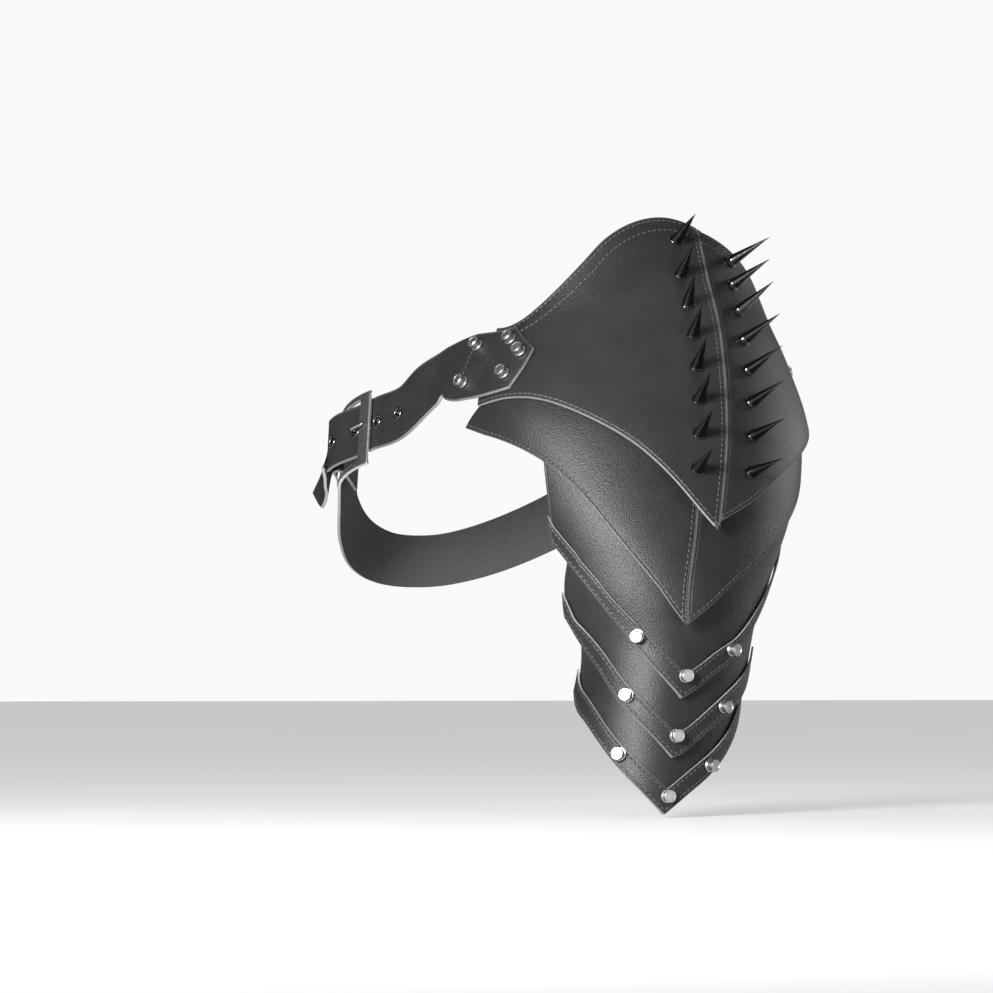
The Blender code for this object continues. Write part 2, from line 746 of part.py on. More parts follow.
def rivet(name, post, depth, head):
    """A stud or rivet through every layer down to a depth below the outer face, with its washer."""
    low = -(depth + WASHER_GAP + WASHER_THICKNESS)
    profile = [
        (0.0, low),
        (WASHER_DIAMETER / 2, low),
        (WASHER_DIAMETER / 2, low + WASHER_THICKNESS),
        (POST_DIAMETER / 2, low + WASHER_THICKNESS),
        (POST_DIAMETER / 2, SEAT_GAP),
        (STUD_DIAMETER / 2, SEAT_GAP),
        (STUD_DIAMETER / 2, SEAT_GAP + head),
        (0.0, SEAT_GAP + head),
    ]
    turned_piece(name, profile, STUD_SIDES, post[2:], "satin_steel")


def stacked_depth(layers):
    """The thickness of a stack of leather layers with their gaps."""
    return layers * LEATHER + (layers - 1) * LAYER_GAP


def lame_studs():
    for name, layer, _, _, studs in LAMES:
        under = 1 if name == "lower" else 2
        depth = BAND_LEATHER + LAYER_GAP + stacked_depth(under)
        for place, post in zip(STUD_NAMES, stud_posts(layer, studs)):
            rivet(f"stud_{name}_{place}", post, depth, STUD_HEIGHT)


def head_rivets():
    """The studs of both strap heads, through the strap, the cap and, near the point, the plate."""
    for side, name in ((-1, "front"), (1, "back")):
        for i, post in enumerate(head_posts(side)):
            under = 2 if i < 3 else 1
            depth = STRAP_LEATHER + LAYER_GAP + stacked_depth(under)
            rivet(f"head_stud_{name}_{i + 1}", post, depth, STUD_HEIGHT)
    for (name, _, _), post in zip(HIDDEN_RIVETS, hidden_posts()):
        rivet(f"hidden_rivet_{name}", post, stacked_depth(2), HIDDEN_HEAD)


def spikes():
    """Two columns of cone spikes, each screwed through the cap from behind."""
    radius = SPIKE_DIAMETER / 2
    for side, name in ((-1, "front"), (1, "back")):
        for i, post in enumerate(spike_posts(side)):
            low = -(LEATHER + WASHER_GAP + WASHER_THICKNESS)
            profile = [
                (0.0, low),
                (WASHER_DIAMETER / 2, low),
                (WASHER_DIAMETER / 2, low + WASHER_THICKNESS),
                (POST_DIAMETER / 2, low + WASHER_THICKNESS),
                (POST_DIAMETER / 2, SEAT_GAP),
                (radius, SEAT_GAP),
                (radius, SEAT_GAP + SPIKE_COLLAR * 0.6),
                (radius * 0.84, SEAT_GAP + SPIKE_COLLAR),
                (0.0, SEAT_GAP + SPIKE_LENGTH),
            ]
            turned_piece(f"spike_{name}_{i + 1}", profile, SPIKE_SIDES, post[2:], "black_chrome")


# Where the straps run. Rows are x, y and z in mm and the lean of the face above level in degrees.
Station = namedtuple("Station", "x y z lean")
CHEST_RUN = (
    Station(-134, -138.5, -102, 22),
    Station(-162, -139.5, -117.5, 17),
    Station(-188, -140.5, -123, 14),
)
CHEST_TAIL = (
    Station(-256, -136, -145.5, 16),
    Station(-266.3, -132.3, -153.6, 18),
    Station(-279, -130.4, -162.8, 20),
    Station(-288.9, -132, -166.7, 20),
)
BODY_RUN = (
    Station(-138, 113, -104, 6),
    Station(-190, 104, -134, 10),
    Station(-252, 84, -170, 14),
    Station(-305, 55, -196, 14),
    Station(-340, 20, -210, 14),
    Station(-351, -20, -211, 14),
    Station(-336, -58, -202, 14),
    Station(-304, -92, -184, 14),
    Station(-272, -114, -161, 14),
)
HEAD_END = 72 * MM
HEAD_BLEND = 22 * MM

# The chest strap's way through the buckle: places along the buckle and off its middle, in mm
BUCKLE_PASS = ((-28, -8.3), (-22, -6.9), (-16.6, -5.6), (-11, -4.1), (-7, -2.9), (0, -0.4),
               (8, 2.3), (14, 3.8), (19, 4.4), (25.6, 4.2), (30, 2.7))
PASS_ON_PRONG = 4

# The body strap's fold round the back bar, and the prong's hook inside it
FOLD_RADIUS = 3.9 * MM
FOLD_LEAVE = 45
FOLD_LEG = 32 * MM
SLOT_HALF = 2.7 * MM
SLOT_REACH = 7 * MM
HOOK_RADIUS = 4.5 * MM


def unit(vector):
    return vector / np.linalg.norm(vector)


def buckle_frame_axes():
    """The buckle's centre, and its ways along the strap, up the bars and outwards."""
    turn, lean, drop = (math.radians(v) for v in (BUCKLE_TURN, BUCKLE_LEAN, BUCKLE_DROP))
    out = np.array([
        -math.sin(turn) * math.cos(lean),
        -math.cos(turn) * math.cos(lean),
        math.sin(lean),
    ])
    level = np.array([-math.cos(turn), math.sin(turn), 0.0])
    rise = np.cross(level, out)
    along = level * math.cos(drop) - rise * math.sin(drop)
    up = level * math.sin(drop) + rise * math.cos(drop)
    return np.array([BUCKLE_X, BUCKLE_Y, BUCKLE_Z]), along, up, out


def buckle_point(along, up, out):
    centre, *axes = buckle_frame_axes()
    return centre + axes[0] * along + axes[1] * up + axes[2] * out


def plate_rise(along):
    """The arch of the buckle's plate."""
    return -BUCKLE_RISE * (2 * along / BUCKLE_LENGTH) ** 2


def path_rows(points, ups):
    """Rows of length, middle point and across-the-strap way, for smooth_table."""
    rows = []
    length = 0.0
    for i, (point, up) in enumerate(zip(points, ups)):
        if i:
            length += np.linalg.norm(point - points[i - 1])
        rows.append((length, *point, *up))
    return rows


def station_ups(points, leans, side):
    """The across-the-strap way at each station, from the lean of the strap's face."""
    ups = []
    for i, lean in enumerate(leans):
        way = unit(points[min(i + 1, len(points) - 1)] - points[max(i - 1, 0)])
        rise = unit(np.array([0.0, 0.0, 1.0]) - way * way[2])
        out = side * np.cross(way, rise)
        turn = math.radians(lean)
        ups.append(rise * math.cos(turn) - out * math.sin(turn))
    return ups


def ribbon_point(rows, side, length, across, depth):
    """A point of a strap: depth 0 is its outer face and depth 1 its inner face."""
    here = smooth_table(rows, length)
    way = unit((smooth_table(rows, length + MM / 4) - smooth_table(rows, length - MM / 4))[:3])
    up = unit(here[3:] - way * (here[3:] @ way))
    out = side * np.cross(way, up)
    return here[:3] + up * across + out * (0.5 - depth) * STRAP_LEATHER


def head_point(side, along, across, depth):
    """A point of a strap's riveted head, which lies on the cap."""
    s, t = head_place(side, along, -across)
    return lifted(strap_lift, s, t, depth * STRAP_LEATHER)


def strap_place(side, rows):
    """The place of a strap's own (along, across), head first and then its free run."""
    def place(along, across, depth):
        share = smooth_step((along - HEAD_END) / HEAD_BLEND)
        if share == 0:
            return head_point(side, along, across, depth)
        run = ribbon_point(rows, side, along - HEAD_END, across, depth)
        if share == 1:
            return run
        return run * share + head_point(side, along, across, depth) * (1 - share)
    return place


def head_start(side):
    """The middle point and up way of a strap where its head ends."""
    middle = head_point(side, HEAD_END, 0.0, 0.5)
    return middle, unit(head_point(side, HEAD_END, MM, 0.5) - middle)


def station_points(stations):
    return [np.array([p.x, p.y, p.z]) * MM for p in stations]


def head_outline(along_end):
    """The head's edges from its point to its narrow end, as (along, half width)."""
    return [
        (0.0, 0.0),
        (HEAD_POINT, HEAD_WIDTH / 2),
        (0.38 * HEAD_LENGTH, HEAD_WIDTH / 2),
        (0.55 * HEAD_LENGTH, HEAD_WIDTH / 2),
        (0.7 * HEAD_LENGTH, HEAD_WIDTH / 2),
        (0.86 * HEAD_LENGTH, HEAD_WIDTH / 2),
        (0.98 * HEAD_LENGTH, STRAP_WIDTH / 2),
        (along_end, STRAP_WIDTH / 2),
    ]


def strap_rows(places, shares):
    """Inner points of a strap at the given places, across it by shares of its half width."""
    return [(a, share * STRAP_WIDTH / 2) for a in places for share in shares]


def head_rows():
    """Inner points that make a head follow the cap under it."""
    return strap_rows([share * HEAD_LENGTH for share in HEAD_ROWS], (-0.8, -0.35, 0.35, 0.8))


def strap_hole(place, along, across, radius, sides, post=None):
    """A hole's corners on a strap, round where the strap bends and centred on its post's axis."""
    run = (place(along + MM, across, 0.5) - place(along - MM, across, 0.5)) / (2 * MM)
    rise = (place(along, across + MM, 0.5) - place(along, across - MM, 0.5)) / (2 * MM)
    if post:
        _, _, centre, axis = post
        arm = centre - place(along, across, 0.5)
        arm -= axis * (arm @ axis)
        along += arm @ run / (run @ run)
        across += arm @ rise / (rise @ rise)
    wide, high = radius / np.linalg.norm(run), radius / np.linalg.norm(rise)
    turns = [2 * math.pi * (i + 0.5) / sides for i in range(sides)]
    return [(along + wide * math.cos(turn), across + high * math.sin(turn)) for turn in turns]


def head_holes(place, side):
    """The head's stud holes as (along, across) of the strap."""
    return [
        strap_hole(place, x * HEAD_LENGTH, -y * HEAD_WIDTH, HOLE_RADIUS, POST_SIDES, post)
        for (x, y), post in zip(HEAD_STUDS, head_posts(side))
    ]


def strap_outline(stops, tip):
    """A strap's whole outline: the head, straight edges with a point at every stop, and the tip."""
    edge = head_outline(stops[0]) + [(stop, STRAP_WIDTH / 2) for stop in stops[1:]]
    lower = [(a, -b) for a, b in edge[1:]]
    return edge + tip + lower[::-1]


def chest_strap():
    """The holed strap from the cap's front through the buckle, with its eyelets."""
    side = -1
    start, start_up = head_start(side)
    run = station_points(CHEST_RUN)
    passed = [buckle_point(u * MM, STRAP_RIDE, n * MM) for u, n in BUCKLE_PASS]
    tail = station_points(CHEST_TAIL)
    _, _, up, _ = buckle_frame_axes()
    points = [start] + run + passed + tail
    leans = [0] + [p.lean for p in CHEST_RUN] + [0] * len(passed) + [p.lean for p in CHEST_TAIL]
    ups = station_ups(points, leans, side)
    ups[0] = start_up
    first = 1 + len(run)
    ups[first:first + len(passed)] = [up] * len(passed)
    rows = path_rows(points, ups)
    place = strap_place(side, rows)
    prong_at = HEAD_END + rows[first + PASS_ON_PRONG][0]
    length = HEAD_END + rows[-1][0]
    eyelets = [prong_at + HOLE_PITCH * k for k in (-2, -1, 0, 1)]
    buckle_start = HEAD_END + rows[first][0] - 6 * MM
    stops = list(np.arange(HEAD_END, buckle_start, 11 * MM))
    stops += list(np.arange(buckle_start, prong_at + HOLE_PITCH + 12 * MM, 6 * MM))
    stops += list(np.arange(stops[-1] + 10 * MM, length - TAIL_POINT - 4 * MM, 11 * MM))
    stops.append(length - TAIL_POINT)
    holes = head_holes(place, side)
    holes += [strap_hole(place, a, 0.0, EYELET_HOLE, EYELET_SIDES) for a in eyelets]
    outline = strap_outline(stops, [(length, 0.0)])
    inner = head_rows() + strap_rows(stops[:-1], (-0.55, 0.0, 0.55))
    wall_piece("chest_strap", outline, holes, place, (1, 1), "strap_leather", 1.0, True, inner)
    section = eyelet_section()
    for i, along in enumerate(eyelets):
        middle = place(along, 0.0, 0.5)
        axis = unit(place(along, 0.0, 0.0) - place(along, 0.0, 1.0))
        ring_piece(f"eyelet_{i + 1}", section, EYELET_SIDES, (middle, axis), "gunmetal")


EYELET_HOLE = EYELET_BORE / 2 + EYELET_WALL + POST_CLEARANCE


def eyelet_section():
    """An eyelet's barrel and its two flanges, as a closed (radius, height) section."""
    bore, wall, rim = EYELET_BORE / 2, EYELET_BORE / 2 + EYELET_WALL, EYELET_DIAMETER / 2
    seat = STRAP_LEATHER / 2 + SEAT_GAP
    top = seat + EYELET_WALL
    return [(bore, -top), (rim, -top), (rim, -seat), (wall, -seat),
            (wall, seat), (rim, seat), (rim, top), (bore, top)]


def fold_points():
    """The body strap's own middle line round the back bar, as (along, out) of the buckle."""
    bar = (BUCKLE_LENGTH - BUCKLE_BACK_BAR) / 2
    centre = np.array([bar, plate_rise(bar)])
    points = []
    for turn in range(FOLD_LEAVE, FOLD_LEAVE + 181, 20):
        angle = math.radians(turn)
        points.append(centre + FOLD_RADIUS * np.array([math.cos(angle), math.sin(angle)]))
    leave = math.radians(FOLD_LEAVE - 90)
    way = np.array([math.cos(leave), math.sin(leave)])
    lift = np.array([-way[1], way[0]])
    entry = [points[0] + way * (distance * MM) for distance in (14, 8, 3)]
    for share in (0.12, 0.4, 1.0):
        close = smooth_step(share) * (2 * FOLD_RADIUS - STRAP_LEATHER - 2 * LAYER_GAP)
        points.append(points[0] - 2 * FOLD_RADIUS * lift + way * FOLD_LEG * share + lift * close)
    return entry + points


def body_strap():
    """The buckle strap from the cap's back, round the body and folded round the back bar."""
    side = 1
    start, start_up = head_start(side)
    run = station_points(BODY_RUN)
    fold = [buckle_point(u, STRAP_RIDE, n) for u, n in fold_points()]
    _, _, up, _ = buckle_frame_axes()
    points = [start] + run + fold
    leans = [0] + [p.lean for p in BODY_RUN] + [0] * len(fold)
    ups = station_ups(points, leans, side)
    ups[0] = start_up
    ups[1 + len(run):] = [up] * len(fold)
    rows = path_rows(points, ups)
    place = strap_place(side, rows)
    length = HEAD_END + rows[-1][0]
    fold_from = HEAD_END + rows[1 + len(run) + 3][0]
    fold_to = fold_from + math.pi * FOLD_RADIUS
    stops = list(np.arange(HEAD_END, fold_from - 14 * MM, 15 * MM))
    slot_stops = list(np.linspace(fold_from - SLOT_REACH, fold_to + SLOT_REACH, 11))
    stops += slot_stops + list(np.linspace(fold_to + SLOT_REACH + 6 * MM, length, 4))
    slot = [(a, -SLOT_HALF) for a in slot_stops] + [(a, SLOT_HALF) for a in slot_stops[::-1]]
    outline = strap_outline(stops, [])
    inner = head_rows() + strap_rows(stops[:-1], (0.0,))
    wall_piece(
        "body_strap", outline, head_holes(place, side) + [slot], place, (1, 1), "strap_leather", 1.0, False, inner
    )


def buckle():
    """The arched square frame, and the prong hooked round its back bar."""
    half_length, half_height = BUCKLE_LENGTH / 2, BUCKLE_HEIGHT / 2
    stops = np.linspace(-half_length, half_length, 7)
    outline = [(u, -half_height) for u in stops] + [(u, half_height) for u in stops[::-1]]
    stops = np.linspace(BUCKLE_FRONT_BAR - half_length, half_length - BUCKLE_BACK_BAR, 5)
    inner = half_height - BUCKLE_RAIL
    window = [(u, -inner) for u in stops] + [(u, inner) for u in stops[::-1]]

    def place(u, w, depth):
        return buckle_point(u, w, plate_rise(u) + (0.5 - depth) * BUCKLE_THICKNESS)

    wall_piece("buckle_frame", outline, [window], place, (1, 1), "buckle_nickel", 1.0, True)
    bar = half_length - BUCKLE_BACK_BAR / 2
    path = []
    for turn in range(150, -91, -24):
        angle = math.radians(turn)
        path.append((bar + HOOK_RADIUS * math.cos(angle), plate_rise(bar) + HOOK_RADIUS * math.sin(angle)))
    path += [(u * MM, n * MM) for u, n in PRONG_PASS]
    points = [buckle_point(u, STRAP_RIDE, n) for u, n in path]
    radii = [PRONG_DIAMETER / 2] * (len(points) - 1) + [PRONG_DIAMETER / 4]
    _, _, up, _ = buckle_frame_axes()
    tube_piece("buckle_prong", points, radii, up, PRONG_SIDES, "buckle_nickel")


# The prong from its hook, under the strap, up through the third eyelet and over the front bar
PRONG_PASS = ((12, -8.8), (0, -8.6), (-3.8, -7.8), (-5.7, -6.0), (-6.5, -4.2), (-7.5, -1.3),
              (-8.8, 0.8), (-10.8, 2.0), (-13.5, 2.1), (-18, 1.2), (-21.5, 0.2), (-23.5, -0.4))


for old in list(bpy.data.objects):
    bpy.data.objects.remove(old, do_unlink=True)

plate_panels()
arm_lames()
lame_studs()
head_rivets()
spikes()
chest_strap()
body_strap()
buckle()
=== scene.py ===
import math
from collections import namedtuple

import bpy
import numpy as np
from mathutils import Matrix, Vector


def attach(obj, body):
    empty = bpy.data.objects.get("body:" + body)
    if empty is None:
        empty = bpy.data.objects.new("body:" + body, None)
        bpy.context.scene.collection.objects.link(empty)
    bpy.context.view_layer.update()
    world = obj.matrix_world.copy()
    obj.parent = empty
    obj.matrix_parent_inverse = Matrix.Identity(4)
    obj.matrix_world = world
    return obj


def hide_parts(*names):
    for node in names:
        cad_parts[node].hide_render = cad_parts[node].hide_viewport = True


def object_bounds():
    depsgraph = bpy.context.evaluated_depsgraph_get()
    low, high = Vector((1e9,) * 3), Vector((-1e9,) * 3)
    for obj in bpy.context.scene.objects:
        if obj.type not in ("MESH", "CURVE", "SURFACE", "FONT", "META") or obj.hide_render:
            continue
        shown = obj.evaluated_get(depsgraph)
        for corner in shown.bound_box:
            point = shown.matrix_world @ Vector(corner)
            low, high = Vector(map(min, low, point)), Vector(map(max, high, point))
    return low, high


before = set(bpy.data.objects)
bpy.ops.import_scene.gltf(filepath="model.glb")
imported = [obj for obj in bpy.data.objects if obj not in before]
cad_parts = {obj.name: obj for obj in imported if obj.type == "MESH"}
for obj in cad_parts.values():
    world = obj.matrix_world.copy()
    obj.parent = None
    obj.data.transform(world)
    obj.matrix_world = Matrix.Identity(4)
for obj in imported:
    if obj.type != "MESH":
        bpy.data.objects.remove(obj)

CAD_BOX = [list(corner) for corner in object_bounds()]
bpy.ops.object.select_all(action="DESELECT")
MM = 0.001


# Shoulder cap. Two panels of 2.2 mm black leather, moulded over the shoulder and sewn together
# along the ridge. The hem and the neck edge are stitched, and the cut edges are left raw.
SHOULDER_REACH, SHOULDER_DEPTH, SLEEVE_DROP = 100 * MM, 130 * MM, 400 * MM
LEATHER, LAYER_GAP, SEAM_GAP = 2.2 * MM, 0.8 * MM, 0.4 * MM

# The leather lies on one shoulder form, a stack of open rings. s runs from -1 at the front end
# through 0 at the ridge to 1 at the back end, and t counts the rings from the neck downwards.
Ring = namedtuple(
    "Ring",
    "ridge_x ridge_y ridge_z front_x front_y front_z back_x back_y back_z"
    " crease front_heading back_heading climb",
)
RINGS = (
    Ring(-0.24, 0.060, 0.000, -0.85, -0.760, -0.164, -0.78, 0.640, -0.150, 8, -6, 6, 0.70),
    Ring(-0.02, 0.020, -0.088, -0.78, -0.840, -0.205, -0.74, 0.700, -0.195, 19, -6, 6, 0.28),
    Ring(0.24, -0.050, -0.195, -0.71, -0.920, -0.252, -0.68, 0.720, -0.245, 18, -4, 4, 0.10),
    Ring(0.49, -0.180, -0.358, -0.60, -0.990, -0.330, -0.56, 0.700, -0.325, 9, 0, 0, 0.00),
    Ring(0.59, -0.320, -0.512, -0.44, -0.930, -0.440, -0.34, 0.560, -0.440, 3, 8, 5, 0.00),
    Ring(0.60, -0.415, -0.612, -0.29, -0.820, -0.580, 0.02, 0.270, -0.600, 1, 16, 14, 0.00),
    Ring(0.586, -0.450, -0.708, -0.15, -0.700, -0.722, 0.260, 0.060, -0.747, 0, 25, 21, 0.00),
    Ring(0.590, -0.520, -0.838, -0.13, -0.760, -0.852, 0.270, -0.010, -0.878, 0, 25, 21, 0.00),
    Ring(0.590, -0.600, -1.000, -0.11, -0.810, -1.015, 0.270, -0.110, -1.040, 0, 25, 21, 0.00),
)
RIDGE_HANDLE, END_HANDLE, RIDGE_FACING = 0.42, 0.36, 10


def smooth_step(value):
    """Runs from 0 to 1 with no slope at either end."""
    value = np.clip(value, 0.0, 1.0)
    return value * value * (3 - 2 * value)


def read_rows(rows, places):
    """Reads (place, value, ...) rows at many places, along one smooth curve through them."""
    rows = np.array(rows, dtype=float)
    x, y = rows[:, 0], rows[:, 1:]
    slopes = np.empty_like(y)
    slopes[1:-1] = (y[2:] - y[:-2]) / (x[2:] - x[:-2])[:, None]
    slopes[0] = (y[1] - y[0]) / (x[1] - x[0])
    slopes[-1] = (y[-1] - y[-2]) / (x[-1] - x[-2])
    places = np.asarray(places, dtype=float)
    i = np.clip(np.searchsorted(x, places, side="left") - 1, 0, len(x) - 2)
    width = (x[i + 1] - x[i])[..., None]
    u = (places - x[i])[..., None] / width
    curve = (
        y[i] * (2 * u**3 - 3 * u**2 + 1) + slopes[i] * width * (u**3 - 2 * u**2 + u)
        + y[i + 1] * (3 * u**2 - 2 * u**3) + slopes[i + 1] * width * (u**3 - u**2)
    )
    before = y[0] + slopes[0] * (places - x[0])[..., None]
    after = y[-1] + slopes[-1] * (places - x[-1])[..., None]
    return np.where(u < 0, before, np.where(u > 1, after, curve))


def heading(degrees, rise=0.0):
    turn = math.radians(degrees)
    return np.array([-math.cos(turn), math.sin(turn), rise])


def ring_row(i, ring, side, creased):
    """One half ring's four curve points, from the ridge to its front or back end."""
    scale = np.array([SHOULDER_REACH, SHOULDER_DEPTH, SLEEVE_DROP])
    ridge = np.array([ring.ridge_x, ring.ridge_y, ring.ridge_z]) * scale
    if side < 0:
        end = np.array([ring.front_x, ring.front_y, ring.front_z]) * scale
        end_way = heading(ring.front_heading)
        leave = heading(-90 + RIDGE_FACING + creased * ring.crease, ring.climb)
    else:
        end = np.array([ring.back_x, ring.back_y, ring.back_z]) * scale
        end_way = heading(ring.back_heading)
        leave = heading(90 + RIDGE_FACING - creased * ring.crease, -0.5 * ring.climb)
    span = np.linalg.norm(end - ridge)
    first, second = ridge + leave * span * RIDGE_HANDLE, end - end_way * span * END_HANDLE
    return (float(i), *ridge, *first, *second, *end)


HALF_RINGS = {
    (side, creased): [ring_row(i, ring, side, creased) for i, ring in enumerate(RINGS)]
    for side in (-1, 1) for creased in (0, 1)
}


def form(s, t, creased=1):
    """Points of the shoulder form."""
    s, t = np.broadcast_arrays(np.asarray(s, dtype=float), np.asarray(t, dtype=float))
    out = np.empty(s.shape + (3,))
    for side, here in ((-1, s < 0), (1, s >= 0)):
        curve = read_rows(HALF_RINGS[side, creased], t[here]).reshape(-1, 4, 3)
        ridge, leave, arrive, end = (curve[:, k] for k in range(4))
        u = np.abs(s[here])[:, None]
        bent = (
            ridge * (1 - u) ** 3 + leave * 3 * u * (1 - u) ** 2
            + arrive * 3 * u**2 * (1 - u) + end * u**3
        )
        out[here] = np.where(u > 1, end + (end - arrive) * 3 * (u - 1), bent)
    return out


STEP = 0.01


def unit(ways):
    return ways / np.linalg.norm(ways, axis=-1, keepdims=True)


def lift_way(s, t):
    """The way that layers are stacked on the form."""
    across = form(s + STEP, t, 0) - form(s - STEP, t, 0)
    down = form(s, t + STEP, 0) - form(s, t - STEP, 0)
    return unit(np.cross(down, across))


def layer_lift(layer):
    return layer * (LEATHER + LAYER_GAP)


LAYER_MID = 4
MID_FLARE, CAP_FLARE = 10 * MM, 9 * MM


def peak(s, t, height, start, run):
    return height * smooth_step((t - start) / run) * np.cos(np.minimum(np.abs(s), 1) * math.pi / 2) ** 2


def mid_lift(s, t):
    return layer_lift(LAYER_MID) + peak(s, t, MID_FLARE, 3.2, 2.4)


def cap_lift(s, t):
    return mid_lift(s, t) + LEATHER + LAYER_GAP + peak(s, t, CAP_FLARE, 1.0, 3.0)


def lifted(lift, s, t, drop=0.0):
    """Points of a piece's outer face, or a drop below that face."""
    s, t = np.asarray(s, dtype=float), np.asarray(t, dtype=float)
    height = np.asarray(lift(s, t) - drop)
    return form(s, t) + lift_way(s, t) * height[..., None]


def face_slopes(lift, s, t):
    across_s = (lifted(lift, s + STEP, t) - lifted(lift, s - STEP, t)) / (2 * STEP)
    across_t = (lifted(lift, s, t + STEP) - lifted(lift, s, t - STEP)) / (2 * STEP)
    return across_s, across_t


def face_way(lift, s, t):
    across_s, across_t = face_slopes(lift, s, t)
    return unit(np.cross(across_t, across_s))


def face_move(lift, s, t, along, down):
    """The (s, t) reached by moves in metres along the face and square to that."""
    a, b = face_slopes(lift, s, t)
    first = unit(a)
    second = unit(b - np.sum(b * first, -1, keepdims=True) * first)
    along, down = np.asarray(along, dtype=float), np.asarray(down, dtype=float)
    arm = along[..., None] * first + down[..., None] * second
    aa, bb, ab = np.sum(a * a, -1), np.sum(b * b, -1), np.sum(a * b, -1)
    ra, rb = np.sum(a * arm, -1), np.sum(b * arm, -1)
    area = aa * bb - ab * ab
    return s + (ra * bb - rb * ab) / area, t + (rb * aa - ra * ab) / area


def node_tree(name):
    """A new material with its shader, and a maker of linked nodes for it."""
    material = bpy.data.materials.new(name)
    material.use_nodes = True
    tree = material.node_tree

    def node(kind, settings=(), **inputs):
        """A new node. An input goes by its name, or by i and its number."""
        made = tree.nodes.new(kind)
        for key, value in dict(settings).items():
            setattr(made, key, value)
        for key, value in inputs.items():
            numbered = key[0] == "i" and key[1:].isdigit()
            socket = made.inputs[int(key[1:]) if numbered else key]
            if isinstance(value, bpy.types.NodeSocket):
                tree.links.new(value, socket)
            else:
                socket.default_value = value
        return made

    return material, tree.nodes["Principled BSDF"], node, tree.links.new


def ramp(node, value, stops):
    """A colour ramp from (place, grey) stops."""
    made = node("ShaderNodeValToRGB", i0=value)
    elements = made.color_ramp.elements
    for place, grey in stops[2:]:
        elements.new(place)
    for element, (place, grey) in zip(elements, sorted(stops)):
        element.position = place
        element.color = (grey, grey, grey * 1.02, 1)
    return made.outputs["Color"]


def vary_roughness(node, link, shader, pattern, roughness, spread):
    """Lets the roughness wander with a pattern, by half the spread either way."""
    wander = node(
        "ShaderNodeMath", {"operation": "MULTIPLY_ADD"},
        i0=pattern, i1=spread, i2=roughness - spread / 2,
    )
    link(wander.outputs[0], shader.inputs["Roughness"])


PORE_DEPTH, CREASE_DEPTH, LEATHER_SPECULAR = 0.28 * MM, 0.4 * MM, 0.32
RUB_REACH_MM, CREASE_INSET_MM, CREASE_HALF_MM = 1.6, 2.6, 1.1
RUBBED_GREY = (0.11, 0.11, 0.112, 1)


def leather_finish(name, grey, roughness, grain, worn):
    """Black leather: fine grain, soft tone patches, and a burnished, pressed line by its edges."""
    material, shader, node, link = node_tree(name)
    place = node("ShaderNodeTexCoord").outputs["Object"]
    edge = node("ShaderNodeAttribute", {"attribute_name": "edge_mm"}).outputs["Fac"]
    patches = node("ShaderNodeTexNoise", Vector=place, Scale=38.0, Detail=4.0, Roughness=0.6)
    pebble = node(
        "ShaderNodeTexVoronoi", {"feature": "SMOOTH_F1"}, Vector=place, Scale=grain, Smoothness=0.4
    )
    fine = node("ShaderNodeTexNoise", Vector=place, Scale=grain * 1.7, Detail=3.0, Roughness=0.65)
    tone = ramp(node, patches.outputs["Fac"], ((0.3, grey * 0.8), (0.75, grey * 1.3)))
    eased = {"interpolation_type": "SMOOTHSTEP"}
    rub = node("ShaderNodeMapRange", eased, i0=edge, i1=0.0, i2=RUB_REACH_MM, i3=worn, i4=0.0)
    worn_tone = node("ShaderNodeMix", {"data_type": "RGBA"}, i0=rub.outputs[0])
    link(tone, worn_tone.inputs[6])
    worn_tone.inputs[7].default_value = RUBBED_GREY
    link(worn_tone.outputs[2], shader.inputs["Base Color"])
    vary_roughness(node, link, shader, fine.outputs["Fac"], roughness, 0.22)
    shader.inputs["Specular IOR Level"].default_value = LEATHER_SPECULAR
    height = node(
        "ShaderNodeMath", {"operation": "ADD"},
        i0=pebble.outputs["Distance"], i1=fine.outputs["Fac"],
    )
    pores = node("ShaderNodeBump", Strength=0.6, Distance=PORE_DEPTH, Height=height.outputs[0])
    near = node("ShaderNodeMath", {"operation": "SUBTRACT"}, i0=edge, i1=CREASE_INSET_MM)
    near = node("ShaderNodeMath", {"operation": "ABSOLUTE"}, i0=near.outputs[0]).outputs[0]
    groove = node("ShaderNodeMapRange", eased, i0=near, i1=0.0, i2=CREASE_HALF_MM, i3=0.0, i4=1.0)
    pressed = node(
        "ShaderNodeBump", Strength=0.6, Distance=CREASE_DEPTH,
        Height=groove.outputs[0], Normal=pores.outputs[0],
    )
    link(pressed.outputs[0], shader.inputs["Normal"])
    return material


def fibre_finish(name, grey, scale, roughness):
    """The raw cut edge or the flesh side of leather, fibrous and dull."""
    material, shader, node, link = node_tree(name)
    place = node("ShaderNodeTexCoord").outputs["Object"]
    fibre = node("ShaderNodeTexNoise", Vector=place, Scale=scale, Detail=6.0, Roughness=0.75)
    tone = ramp(node, fibre.outputs["Fac"], ((0.3, grey * 0.55), (0.7, grey * 1.4)))
    link(tone, shader.inputs["Base Color"])
    shader.inputs["Roughness"].default_value = roughness
    rough = node("ShaderNodeBump", Strength=0.6, Distance=0.0003, Height=fibre.outputs["Fac"])
    link(rough.outputs[0], shader.inputs["Normal"])
    return material


PLATE_LEATHER = leather_finish("plate_leather", 0.011, 0.42, 1050.0, 0.35)
FLESH_SIDE = fibre_finish("flesh_side", 0.035, 900.0, 0.92)
CUT_EDGE = fibre_finish("cut_edge", 0.23, 1400.0, 0.62)


